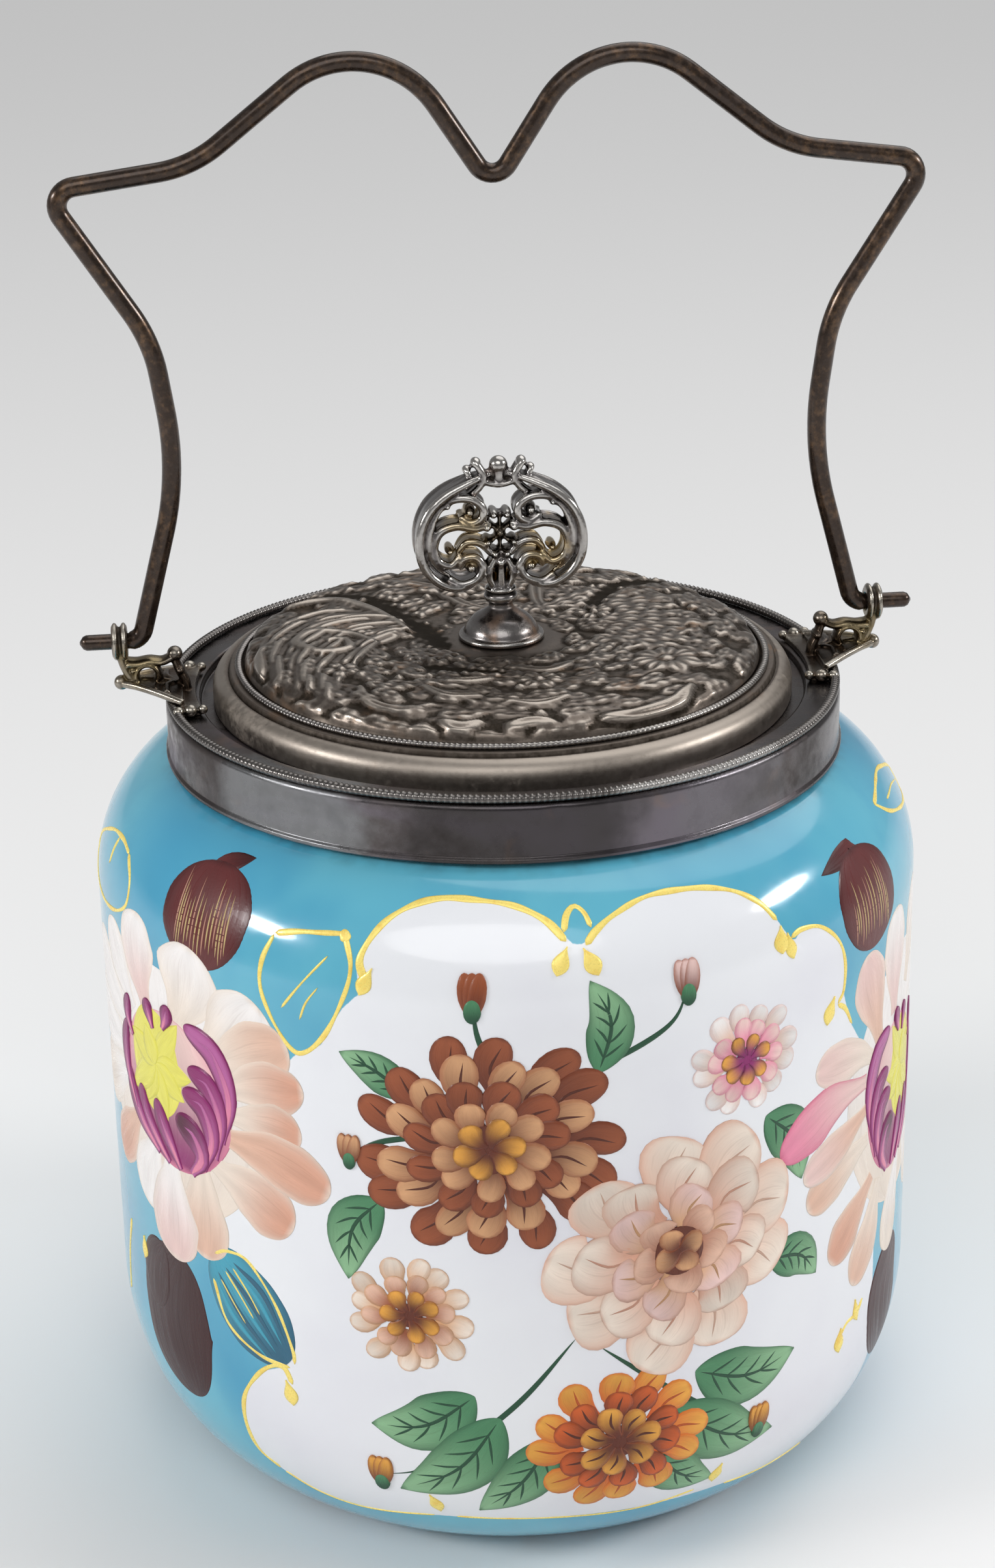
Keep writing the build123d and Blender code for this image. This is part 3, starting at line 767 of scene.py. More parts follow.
@dataclass(frozen=True)
class TwoTone(Finish):
    """A plain finish in two tones: clouded by patina, and grained by it or by turning marks."""

    light: Colour
    dark: Colour
    scale: float
    cover: float
    gloss: tuple[float, float]
    grain: tuple[float, float]
    metallic: float = 0.0
    has_turning: bool = False

    def surface(self, w: Wiring, effects: Effects, place: Socket) -> dict[str, object]:
        """Both tones mixed by the stain; gloss is the roughness's range, grain its depth and strength."""
        stain, mottle = w.effect(effects.patina, Vector=place, Scale=self.scale, Cover=self.cover)
        marks = w.noise(w.stretch(place, 1.0, 1.0, 30.0), 400.0, 3.0, 0.6) if self.has_turning else mottle
        return {"Base Color": w.mix(stain, self.light, self.dark), "Metallic": self.metallic,
                "Roughness": w.ramp(mottle, 0.3, 0.7, *self.gloss), "Normal": w.bump(marks, *self.grain)}


@dataclass(frozen=True)
class PaleFloor(Finish):
    """A plain floor whose colour turns to a far one with distance, in metres."""

    near: Colour
    far: Colour
    fade: tuple[float, float]

    def surface(self, w: Wiring, effects: Effects, place: Socket) -> dict[str, object]:
        """The near colour turns smoothly to the far one over the fade."""
        away = w.vector("LENGTH", place).outputs["Value"]
        return {"Base Color": w.mix(w.ramp(away, *self.fade), self.near, self.far), "Roughness": 0.8}


def dress(piece: Piece, material: Material, body: str, slot: str, *stands_for: str) -> None:
    """Gives a new piece its finish, its body and the nodes that it stands for."""
    piece.data.materials.clear()
    piece.data.materials.append(material)
    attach(piece, body)
    if stands_for:
        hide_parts(*stands_for)
    log.info("%s: %d points on %s", piece.name, len(piece.data.vertices), body)


def finish_node(node: str, material: Material) -> None:
    """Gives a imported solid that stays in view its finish."""
    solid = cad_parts[node]
    solid.data.materials.clear()
    solid.data.materials.append(material)
    log.info("%s: kept with %s", node, material.name)


# ---- The glass and its unrolled sheet ----

@dataclass
class JarForm:
    """The blown glass as turned sizes, and its outside unrolled into a sheet.

    A place on the sheet is (a, s): a is the turn from the front towards +X times the body's radius, and
    s is the distance up the outside from the foot's outer edge.
    """

    foot_r: float = 48.0
    base_h: float = 30.0
    top_wall_r: float = 69.4
    shoulder_z: float = 103.0
    shoulder_arc: float = 22.0
    neck_r: float = 52.9
    ledge_w: float = 1.05
    wall: float = 4.0
    floor_t: float = 5.0
    ring_w: float = 8.0
    recess: float = 1.5
    inset: float = 0.3

    def __post_init__(self) -> None:
        """Works out the outside's profile, its length and its normals."""
        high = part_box("glass_jar")[1]
        self.body_r, self.neck_top = float(high.x) / MM, float(high.z) / MM
        self.centre_r = self.top_wall_r - self.shoulder_arc
        stop = np.degrees(np.arccos((self.neck_r + self.ledge_w - self.centre_r) / self.shoulder_arc))
        self.outside = trail(
            arc((self.foot_r, self.base_h), (self.body_r - self.foot_r, self.base_h), 270, 360, 90),
            line((self.body_r, self.base_h), (self.top_wall_r, self.shoulder_z), 120),
            arc((self.centre_r, self.shoulder_z), self.shoulder_arc, 0, stop, 90))
        self.run = run_of(self.outside)
        self.length = float(self.run[-1])
        along = unit(np.gradient(self.outside, axis=0))
        self.normal = np.stack([along[:, 1], -along[:, 0]], axis=1)
        self.ledge_z = float(self.outside[-1, 1])

    def radius(self, s: Floats) -> Floats:
        """The outside's radius at a distance up the sheet."""
        return np.interp(s, self.run, self.outside[:, 0])

    def side(self, path: Floats) -> Floats:
        """A step of one millimetre to the side of a path, at each of its places on the sheet.

        Where the glass is slimmer than the body, a step along a is shorter by the ratio of the radii.
        """
        tight = self.radius(path[:, 1]) / self.body_r
        along = unit(np.gradient(path, axis=0) * np.stack([tight, np.ones(len(path))], axis=1))
        return np.stack([-along[:, 1] / tight, along[:, 0]], axis=1)

    def place(self, a: Floats, s: Floats, lift: Floats | float = 0.0) -> Floats:
        """Places on or above the glass.

        The turn is a / body radius; the point is (r sin, -r cos, z) with r and z read from the profile
        at s and moved by lift along its normal.

        Args:
            a, s: the places on the sheet, in arrays of one shape.
            lift: distance above the glass.

        Returns:
            The points, with a last axis of 3.
        """
        turn = np.asarray(a) / self.body_r
        out = np.asarray(lift) - self.inset
        r, z = (np.interp(s, self.run, self.outside[:, k]) + out * np.interp(s, self.run, self.normal[:, k])
                for k in (0, 1))
        return np.stack([r * np.sin(turn), -r * np.cos(turn), z], axis=-1)


class Plan(Enum):
    """How the half width of a painted stroke runs from its root to its tip."""

    PETAL = "petal"
    LEAF = "leaf"
    DROP = "drop"

    def widths(self, t: Floats) -> Floats:
        """Half width as a share of the greatest one, for t from 0 at the root to 1 at the tip.

        A petal widens smoothly up to its crown and ends in a quarter ellipse, a leaf is a softened sine
        of t to the power 0.8, and a drop is an ellipse.
        """
        if self is Plan.LEAF:
            return np.sin(np.pi * np.clip(t, 0, 1) ** 0.8) ** 0.85
        if self is Plan.DROP:
            return np.sqrt(np.clip(1 - (2 * t - 1) ** 2, 0, 1))
        crown = 0.66
        tip = np.sqrt(np.clip(1 - (np.clip(t - crown, 0, None) / (1 - crown)) ** 2, 0, 1))
        return (0.30 + 0.70 * smooth_step(t, 0.0, crown)) * tip


@dataclass(frozen=True)
class Petal:
    """One painted stroke: its line from root to tip, its half width, its colours and its plan."""

    line: Sequence[Place]
    half_w: float
    root: Colour
    tip: Colour
    edge: Colour | None = None
    plan: Plan = Plan.PETAL


@dataclass
class Brush:
    """Lays painted strokes on the jar's sheet, none higher than its ceiling over the glass."""

    form: JarForm
    ceiling: float = 0.3

    def stroke(self, petal: Petal, lift: float, ragged: float, seed: int, step: float) -> Skin:
        """One stroke of paint as a thin closed skin.

        Its line is the smooth curve through the petal's points. At each place its edges stand off to
        both sides by the plan's half width. The top is level, and both edges fall steeply into the glass.
        The crown field is 1 - v^4 with v from -1 to 1 across, and it falls to 0 at the ends.

        Args:
            petal: the stroke's line, width, plan and colours.
            lift: height of its top over the glass.
            ragged: share by which its edge wanders.
            seed: seed of that wander.
            step: size of the mesh's cells.

        Returns:
            The skin with its paint and crown fields.
        """
        form, half_w, given = self.form, petal.half_w, np.asarray(petal.line, float)
        squeeze = float(form.radius(np.array([given[:, 1].mean()]))[0]) / form.body_r
        size = float(np.linalg.norm(np.diff(given, axis=0) * (squeeze, 1), axis=1).sum())
        rows = int(np.clip(size / step, 12, 120))
        t = 0.5 - 0.5 * np.cos(np.linspace(0.0, np.pi, rows))
        fine = np.linspace(0, 1, rows * 4)
        path = np.stack([np.interp(t, fine, values) for values in through(given, rows * 4).T], axis=1)
        side = form.side(path)
        phases = np.random.default_rng(seed).uniform(0, 2 * np.pi, 6)
        top = np.linspace(-0.97, 0.97, int(np.clip(2 * half_w / step, 5, 56)))
        v = np.concatenate([top, [1.0, 0.6, -0.6, -1.0]])
        low, high = (1 + ragged * (np.sin(9 * t + phases[k]) + 0.6 * np.sin(21 * t + phases[k + 1]))
                     for k in (0, 2))
        reach = np.where(v < 0, low[:, None], high[:, None])
        off = v * reach * half_w * np.maximum(petal.plan.widths(t), 0.03)[:, None]
        a = path[:, :1] + side[:, :1] * off
        s = np.clip(path[:, 1:] + side[:, 1:] * off, 0.5, form.length - 0.3)
        level = np.append(np.full(len(top), min(lift + 0.02, self.ceiling)), [-0.02, -0.09, -0.09, -0.02])
        ends = np.clip(np.minimum(t, 1 - t) * size / max(half_w, 0.5), 0, 1) ** 0.5
        blend = smooth_step(t, 0.1, 0.95)[:, None, None]
        paint = np.asarray(petal.root) * (1 - blend) + np.asarray(petal.tip) * blend
        paint = np.broadcast_to(paint, (rows, len(v), 3))
        if petal.edge is not None:
            share = np.maximum(np.abs(v) ** 5, smooth_step(t, 0.93, 1.0)[:, None])[..., None] * 0.75
            paint = paint * (1 - share) + np.asarray(petal.edge) * share
        stripes = 1 + 0.06 * np.sin(v * 7 + phases[4])[:, None] * np.sin(t * 5 + phases[5])[:, None, None]
        return weave(form.place(a, s, np.broadcast_to(level, a.shape)), fields={
            "paint": np.clip(paint * stripes, 0, 1), "crown": (1 - np.abs(v) ** 4) * ends[:, None]})

    def gold(self, points: Sequence[Place], half_w: float = 0.35, lift: float = 0.12,
             plump: bool = False) -> Skin:
        """A raised gold line through the points, half round with round ends, or plump as a drop."""
        squeeze = 0.9
        size = float(np.linalg.norm(np.diff(np.asarray(points, float), axis=0), axis=1).sum()) * squeeze
        rows = int(np.clip(size / 0.5, 10, 260))
        path = through(points, rows)
        t = np.linspace(0, 1, rows)
        swell = 1 + 0.16 * np.sin(t * size * 0.9) + 0.12 * np.sin(t * size * 0.37 + 1.0)
        ends = np.clip(np.minimum(t, 1 - t) * size / 0.5, 0.02, 1) ** 0.5
        if plump:
            ends = np.clip(np.sin(np.pi * t ** 1.7), 0.02, 1) ** 0.7
        side, turn = self.form.side(path), np.radians(np.linspace(-20, 200, 8))
        off = np.cos(turn) * (0.86 * half_w * swell * ends)[:, None]
        s = np.clip(path[:, 1:] + side[:, 1:] * off, 0.5, self.form.length - 0.3)
        height = np.clip(lift * np.sin(turn), -0.05, None)
        return weave(self.form.place(path[:, :1] + side[:, :1] * off, s, height))


@dataclass
class Glass:
    """The blown jar itself: painted outside, bare opal inside."""

    form: JarForm
    front_columns: int = 330
    back_columns: int = 90

    def outline(self) -> Floats:
        """The white field's outline on the sheet: smooth curves that follow each other round it."""
        curves = (
            # Left, right and small arch.
            ([(-30.5, 118.5), (-31, 124), (-28, 129.5), (-23.5, 132.8), (-18, 134.3), (-11.5, 134),
              (-6, 133), (-1, 130.6), (3, 126.6)], 60),
            ([(4.4, 126.6), (6.8, 128.4), (10.5, 130.6), (16.8, 132.5), (25, 132.4), (31.8, 130.6),
              (36.5, 127.3), (40.4, 120.6)], 60),
            ([(41.2, 120), (43.5, 121), (47.2, 120.2), (51.2, 116.7), (53, 112.3), (53, 107), (55.8, 100)],
             40),
            # Right side, foot, lower scroll and left side.
            ([(55.8, 100), (64, 88), (67, 70), (66, 52), (66.5, 40), (67.5, 31)], 40),
            ([(67.5, 31), (65, 23.5), (53, 18.6), (31, 21.6), (13.5, 22.6), (-4, 23.4), (-20, 23.4),
              (-34.8, 21.8), (-43.5, 22.6)], 90),
            ([(-43.5, 22.6), (-49.5, 25.2), (-54.5, 29), (-56.3, 34.5), (-55.6, 40.5), (-51.8, 46.2),
              (-47.2, 48.9)], 40),
            ([(-47.2, 48.9), (-45.8, 51.5), (-47, 57.5), (-51, 63.5), (-58, 68), (-58, 85), (-47, 100),
              (-41.2, 106.8), (-37, 109.2), (-33.4, 115.5), (-30.5, 118.5)], 60))
        return np.concatenate([through(points, count) for points, count in curves])

    def reserve(self, a: Floats, s: Floats) -> Floats:
        """Distance in millimetres inside the white field, negative outside it.

        The distance to the outline is the least one to its segments, and a place is inside where an
        upward ray from it crosses the outline an odd number of times.

        Args:
            a, s: places on the sheet, in arrays of one shape.

        Returns:
            The distances, -30 far from the field.
        """
        p0 = self.outline()
        d = np.roll(p0, -1, axis=0) - p0
        square = np.maximum((d ** 2).sum(axis=1), 1e-9)
        width = np.where(np.abs(d[:, 0]) < 1e-9, 1e-9, d[:, 0])
        places = np.stack([a.ravel(), s.ravel()], axis=1)
        result = np.full(len(places), -30.0)
        near = np.flatnonzero((places[:, 0] > p0[:, 0].min() - 5) & (places[:, 0] < p0[:, 0].max() + 5))
        for block in np.array_split(near, max(1, len(near) // 4000)):
            q = places[block][:, None] - p0
            along = np.clip((q * d).sum(-1) / square, 0, 1)
            away = np.linalg.norm(q - along[..., None] * d, axis=-1).min(axis=1)
            spans = (q[..., 0] < 0) != (q[..., 0] < d[:, 0])
            inside = (spans & (q[..., 0] * d[:, 1] / width > q[..., 1])).sum(axis=1) % 2 == 1
            result[block] = np.where(inside, away, -away)
        return result.reshape(a.shape)

    def build(self, finish: Material) -> None:
        """Builds the glass as one closed turned skin with its reserve and coat fields."""
        form = self.form
        half = np.radians(95.0)
        turns = np.concatenate([np.linspace(-half, half, self.front_columns, endpoint=False),
                                np.linspace(half, 2 * np.pi - half, self.back_columns, endpoint=False)])
        a = turns * form.body_r
        a = np.where(turns > np.pi, a - 2 * np.pi * form.body_r, a)
        rows = np.concatenate([np.linspace(0, 16, 14)[:-1], np.linspace(16, form.length, 150)])
        a, s = np.meshgrid(a, rows)
        ring_r, recess = form.foot_r - form.ring_w, form.recess
        under = np.array([(4.0, recess), (ring_r / 2, recess), (ring_r - 0.5, recess),
                          (ring_r + 0.4, recess - 0.4), (ring_r + recess, 0.1), (ring_r + recess + 0.4, 0.0),
                          (form.foot_r - 0.8, 0.0)])
        in_neck, in_arc = form.neck_r - form.wall, form.shoulder_arc - form.wall
        stop = np.degrees(np.arccos((in_neck - form.centre_r) / in_arc))
        in_foot, in_body = form.foot_r - form.wall / 2, form.body_r - form.wall
        neck = rounded([(form.neck_r + form.ledge_w, form.ledge_z), (form.neck_r, form.ledge_z),
                        (form.neck_r, form.neck_top), (in_neck, form.neck_top),
                        (in_neck, form.shoulder_z + in_arc)], 0.8, 4, closed=False)[1:-1]
        inner = trail(arc((form.centre_r, form.shoulder_z), in_arc, stop, 0, 16),
                      line((form.centre_r + in_arc, form.shoulder_z), (in_body, form.base_h), 10),
                      arc((in_foot, form.base_h), (in_body - in_foot, form.base_h - form.floor_t), 0, -90,
                          18),
                      line((in_foot, form.floor_t), (3.0, form.floor_t), 7))
        parts = [turned(under, turns), form.place(a, s), turned(np.concatenate([neck, inner]), turns)]
        bare, rest = (np.zeros(part.shape[:2]) for part in (parts[0], parts[2]))
        fields = {"reserve": np.concatenate([bare - 30, self.reserve(a, s), rest - 30]),
                  "coat": np.concatenate([bare, np.ones_like(a), rest])}
        piece = weave(np.concatenate(parts), fields=fields).build("painted_glass")
        dress(piece, finish, "jar", "opal_glass", "glass_jar")


# ---- The painted decoration ----

class Palette:
    """The enamels that the decorator mixed."""

    white: Colour = display(240, 236, 234)
    cream: Colour = display(232, 218, 204)
    peach: Colour = display(222, 182, 160)
    deep_peach: Colour = display(214, 160, 136)
    peach_edge: Colour = display(186, 138, 116)
    blush: Colour = display(230, 198, 192)
    pink: Colour = display(230, 138, 166)
    rose: Colour = display(204, 96, 130)
    orchid: Colour = display(180, 96, 154)
    magenta: Colour = display(138, 42, 104)
    wine: Colour = display(78, 18, 46)
    yellow: Colour = display(228, 222, 98)
    maroon: Colour = display(96, 44, 44)
    maroon_edge: Colour = display(62, 26, 28)
    dark: Colour = display(52, 14, 14)
    slate: Colour = display(52, 100, 124)
    teal: Colour = display(70, 160, 184)
    straw: Colour = display(196, 170, 118)
    auburn: Colour = display(150, 82, 52)
    chestnut: Colour = display(98, 48, 34)
    tan: Colour = display(208, 158, 116)
    orange: Colour = display(206, 96, 44)
    amber: Colour = display(226, 162, 70)
    leaf_light: Colour = display(140, 184, 142)
    leaf_green: Colour = display(78, 134, 96)
    leaf_dark: Colour = display(38, 78, 56)


@dataclass
class FlowerPainter:
    """Builds up flowers, leaves and blooms, each layer a little above the last."""

    brush: Brush
    height: float = 0.0
    skins: list[Skin] = field(default_factory=list)
    count: int = 0

    def lay(self, petal: Petal, ragged: float = 0.012) -> None:
        """Paints one petal above the last."""
        self.height += 0.004
        self.count += 1
        self.skins.append(self.brush.stroke(petal, self.height, ragged, self.count, 0.7))

    def vein(self, line: Sequence[Place], half_w: float, colour: Colour) -> None:
        """Draws one fine line of colour."""
        petal = Petal(line, half_w, colour, colour, None, Plan.LEAF)
        self.skins.append(self.brush.stroke(petal, self.height + 0.003, 0.0, self.count, 0.6))

    def leaf(self, line: Sequence[Place], half_w: float, root: Colour, tip: Colour, edge: Colour,
             vein: Colour, side_veins: int = 4) -> None:
        """Paints a leaf with a midrib and side veins that lean to its tip.

        A side vein runs from the midrib to a point further on and 0.66 of the leaf's own half width out,
        on both sides.

        Args:
            line: places from root to tip.
            half_w: greatest half width.
            root, tip, edge, vein: its colours.
            side_veins: how many on each side.
        """
        self.lay(Petal(line, half_w, root, tip, edge, Plan.LEAF))
        path = through(line, 60)
        self.vein(path[3:55:8], 0.32, vein)
        along = unit(np.gradient(path, axis=0))
        side = np.stack([-along[:, 1], along[:, 0]], axis=1)
        for k in range(side_veins):
            start = int(60 * (0.16 + 0.62 * k / side_veins))
            end = min(start + 11, 58)
            middle = (start + end) // 2
            reach = 0.66 * half_w * float(Plan.LEAF.widths(np.array(end / 60)))
            for way in (-1, 1):
                self.vein([path[start], path[middle] + side[middle] * way * reach * 0.45,
                           path[end] + side[end] * way * reach], 0.22, vein)

    def bloom(self, centre: Place, size: float, rings: Sequence[tuple[int, float, float, float]],
              colours: Sequence[tuple[Colour, Colour, Colour]], turn: float, squash: float, curl: float,
              seed: int, base: float = 0.05) -> None:
        """Paints a bloom ring by ring, from the outside in.

        Petal k of n in a ring points to turn + 360 k / n degrees, a little off by chance; its line
        starts at the ring's inner share of the size and ends at the outer one, and bends by curl.

        Args:
            centre: the bloom's middle on the sheet.
            size: its radius.
            rings: for each ring its petals, inner share, outer share and half width as a share.
            colours: for each ring its root, tip and edge.
            turn: where the first petal points, in degrees from +a towards +s.
            squash: height as a share of width.
            curl: how far a petal bends sideways, as a share of its length.
            seed: seed of the chance.
            base: height of the first petal.
        """
        self.height = base
        dice, centre = np.random.default_rng(seed), np.asarray(centre)
        for ring, ((number, inner, outer, width), (root, tip, edge)) in enumerate(zip(rings, colours)):
            if ring == len(rings) - 1:
                heart = [centre - (0, 0.2 * size), centre, centre + (0, 0.2 * size)]
                self.lay(Petal(heart, 0.2 * size, root, root, None, Plan.DROP))
            for k in dice.permutation(number):
                angle = np.radians(turn + 360 * (k + 0.5 * (ring % 2)) / number + dice.uniform(-6, 6))
                way = np.array([np.cos(angle), np.sin(angle) * squash])
                side = np.array([-np.sin(angle), np.cos(angle) * squash])
                far = outer * dice.uniform(0.92, 1.05)
                middle = centre + way * size * (inner + far) / 2 + side * (curl * (far - inner) * size)
                start, end = centre + way * size * inner, centre + way * size * far
                shade = dice.uniform(0.86, 1.1)
                self.lay(Petal([start, middle, end], size * width * dice.uniform(0.9, 1.1),
                               np.multiply(root, shade), np.minimum(np.multiply(tip, shade), 1.0), edge))
                if size > 12 and ring < 3:
                    vein = [start + (middle - start) * 0.5, middle, start + (end - start) * 0.86]
                    self.vein(vein, 0.24, np.multiply(root, 0.75))

    def build(self, name: str, finish: Material) -> None:
        """Joins what was painted into one piece and dresses it."""
        dress(Skin.joined(self.skins).build(name), finish, "jar", "opal_glass")


@dataclass
class Decoration:
    """Everything that is painted and gilded on the glass."""

    form: JarForm

    def painter(self) -> FlowerPainter:
        """A painter who starts on the bare glass."""
        return FlowerPainter(Brush(self.form))

    def open_flower(self, squeeze: float, middle: Place, bed: Sequence[Place], bed_w: float,
                    petals: Sequence[tuple[Sequence[Place], float, Colour, Colour]]) -> FlowerPainter:
        """A flower with pale petals over a white bed, and the purple heart on top."""
        c, work = Palette, self.painter()
        work.lay(Petal(bed, bed_w, c.white, c.cream, None, Plan.DROP))
        for line, half_w, root, tip in petals:
            work.lay(Petal(line, half_w, root, tip, c.rose if tip == c.pink else c.cream), 0.035)
        self.heart(work, squeeze, middle)
        return work

    def left_flower(self) -> FlowerPainter:
        """The open flower on the left."""
        c = Palette
        return self.open_flower(1.0, (-70, 92), ((-73, 112), (-73, 91), (-71, 68)), 25, (
            (((-85, 88), (-95, 84), (-104, 79)), 6.0, c.white, c.cream),
            (((-85, 92), (-97, 93), (-107, 93)), 6.2, c.white, c.white),
            (((-84, 97), (-95, 101), (-104, 106)), 6.0, c.white, c.white),
            (((-82, 82), (-89, 75), (-95, 69)), 4.8, c.peach, c.deep_peach),
            (((-82, 101), (-88, 107), (-93, 113)), 5.2, c.white, c.white),
            (((-77, 103), (-79.5, 111), (-79.5, 119)), 6.4, c.blush, c.white),
            (((-68, 103), (-65, 110), (-63.5, 118.5)), 7.6, c.cream, c.white),
            (((-62, 100), (-54, 106), (-48.5, 113)), 7.4, c.cream, c.white),
            (((-60, 99), (-51, 104), (-43, 107)), 5.6, c.cream, c.peach),
            (((-58, 96), (-49, 99), (-40.5, 100)), 4.6, c.cream, c.deep_peach),
            (((-56, 92), (-49, 92.5), (-41.2, 92)), 4.4, c.cream, c.deep_peach),
            (((-60, 82), (-52, 79.4), (-43.6, 75.2)), 5.6, c.cream, c.deep_peach),
            (((-58, 88), (-47, 87), (-36.6, 83.2)), 5.2, c.peach, c.deep_peach),
            (((-76, 80), (-79, 73), (-81, 65.5)), 6.4, c.white, c.white),
            (((-63, 82), (-63, 73), (-63.5, 63.2)), 6.0, c.cream, c.peach),
            (((-71, 79), (-72, 69), (-72, 59.2)), 7.4, c.white, c.blush)))

    def right_flower(self) -> FlowerPainter:
        """The flower on the right, which turns round the jar's side."""
        c = Palette
        return self.open_flower(-0.82, (74.5, 81), ((77, 106), (77, 84), (74, 60)), 22, (
            (((82, 70), (88, 62), (93, 55)), 5.4, c.white, c.cream),
            (((84, 76), (94, 73), (103, 69)), 6.0, c.cream, c.peach),
            (((85, 84), (96, 86), (106, 86)), 6.2, c.white, c.cream),
            (((84, 92), (93, 98), (101, 104)), 5.8, c.white, c.white),
            (((81, 97), (86, 106), (90, 113)), 5.6, c.cream, c.white),
            (((73, 95), (73, 105), (73, 114)), 5.8, c.blush, c.white),
            (((66, 93), (63, 102), (60, 110.5)), 5.4, c.peach, c.blush),
            (((64, 91), (57, 94), (46, 95.5)), 4.2, c.cream, c.blush),
            (((78, 67), (74, 58), (73, 50)), 4.8, c.white, c.cream),
            (((67, 67), (63, 58), (58, 51)), 4.6, c.cream, c.peach),
            (((64, 69), (57, 64), (51, 58.5)), 4.4, c.peach, c.deep_peach),
            (((62, 77), (53, 75), (44.5, 71.5)), 4.4, c.cream, c.peach),
            (((62, 83), (53, 80), (43.5, 77)), 3.8, c.peach, c.blush),
            (((61, 88), (50, 88), (38.2, 83)), 4.6, c.blush, c.pink)))

    def heart(self, work: FlowerPainter, squeeze: float, middle: Place) -> None:
        """The flower's heart: a yellow star with striped purple florets that curl in over it.

        Places are offsets from the middle, with the a offsets times squeeze, so that the same heart
        serves a flower that is turned away.

        Args:
            work: the painter of the flower.
            squeeze: width as a share of the full width, negative for the mirror image.
            middle: the heart's middle on the sheet.
        """
        c, thin = Palette, abs(squeeze) ** 0.5

        def at(*points: Place) -> Floats:
            """Places round the heart's middle."""
            return np.array(points) * (squeeze, 1) + middle

        for points, half_w, root, tip, edge in (
                (((0, 12.4), (-0.4, 0), (-0.2, -15)), 15.4, c.blush, c.magenta, c.pink),
                (((-2, 11.4), (-4.8, 4), (-4.6, -7.2)), 8.2, c.yellow, c.yellow, None)):
            work.lay(Petal(at(*points), half_w * abs(squeeze), root, tip, edge, Plan.DROP))
        for a, s in ((2.8, 11.8), (5.8, 3), (3.6, -1.6), (-1.8, -7.4), (-8.6, -6), (-14, -5.6), (-13, 5.4),
                     (-7.6, 8.2)):
            work.lay(Petal(at((-4.8, 2), ((a - 4.8) / 2, s / 2 + 1), (a, s)), 2.6 * thin, c.yellow, c.yellow,
                           None, Plan.LEAF))
        for k, (*points, half_w) in enumerate((
                ((12.6, -5.5), (14.6, 2.5), (11.6, 9.6), (4.6, 12.4), 2.2),
                ((10.8, -9), (12.2, -2), (10, 3.4), (5, 5), 2.2),
                ((7.8, -12), (10.2, -6), (8.4, -0.8), (3.2, 0.4), 2.2),
                ((4.6, -14), (7.4, -10.4), (5.6, -6.8), (0.8, -5.2), 2.5),
                ((1.5, -14.6), (-0.4, -12), (-3.2, -8.6), (-5.4, -4.4), 1.9),
                ((-1.8, -14.6), (-5.4, -12), (-9.2, -8.8), (-10.8, -4), 1.9),
                ((-5, -14), (-10.6, -11), (-14.2, -7.2), (-15.8, -2.8), 1.9),
                ((-13, -9.5), (-16.2, -4), (-16.8, 1), (-15.6, 5.6), 1.5),
                ((-12.8, 4), (-14.6, 6), (-15, 8), (-14.2, 10.6), 1.3),
                ((-4.8, 8.4), (-5.6, 10), (-6.4, 11.6), (-7, 13), 1.3),
                ((-1.6, 9.6), (-0.8, 11), (-0.2, 12.6), (0.2, 14.2), 1.4))):
            line, half_w = at(*points), half_w * thin
            work.lay(Petal(line, half_w + 0.35, c.magenta, c.wine, c.magenta))
            body = {0: c.orchid, 3: c.wine}.get(k, c.magenta)
            work.lay(Petal(line, half_w, c.orchid, body, c.magenta))
            stripe = [*line[:3], (line[2] + line[3]) / 2]
            work.lay(Petal(stripe, half_w * 0.3, c.pink, c.orchid, None, Plan.LEAF))

    def maroon_leaf(self, work: FlowerPainter, line: Sequence[Place], half_w: float, tip: Place, hairs: int,
                    seed: int) -> None:
        """A round dark leaf with a small pointed tip and fine pale hairs over its lower part."""
        c, dice, path, end = Palette, np.random.default_rng(seed), through(line, 30), np.array(line[-1])
        work.lay(Petal([end - 2, end + (1, 0), tip], half_w * 0.2, c.maroon, c.maroon_edge, None, Plan.LEAF))
        work.lay(Petal(line, half_w, c.maroon, c.maroon, c.maroon_edge, Plan.DROP))
        for k in range(hairs):
            off = half_w * (-0.8 + 1.6 * k / (hairs - 1))
            first, last = int(dice.uniform(3, 8)), int(dice.uniform(18, 27))
            run = path[first:last:4] + np.array([off, 0.0]) * (1 - 0.3 * abs(off) / half_w)
            work.vein(run, 0.17, c.straw if k % 3 else c.peach_edge)

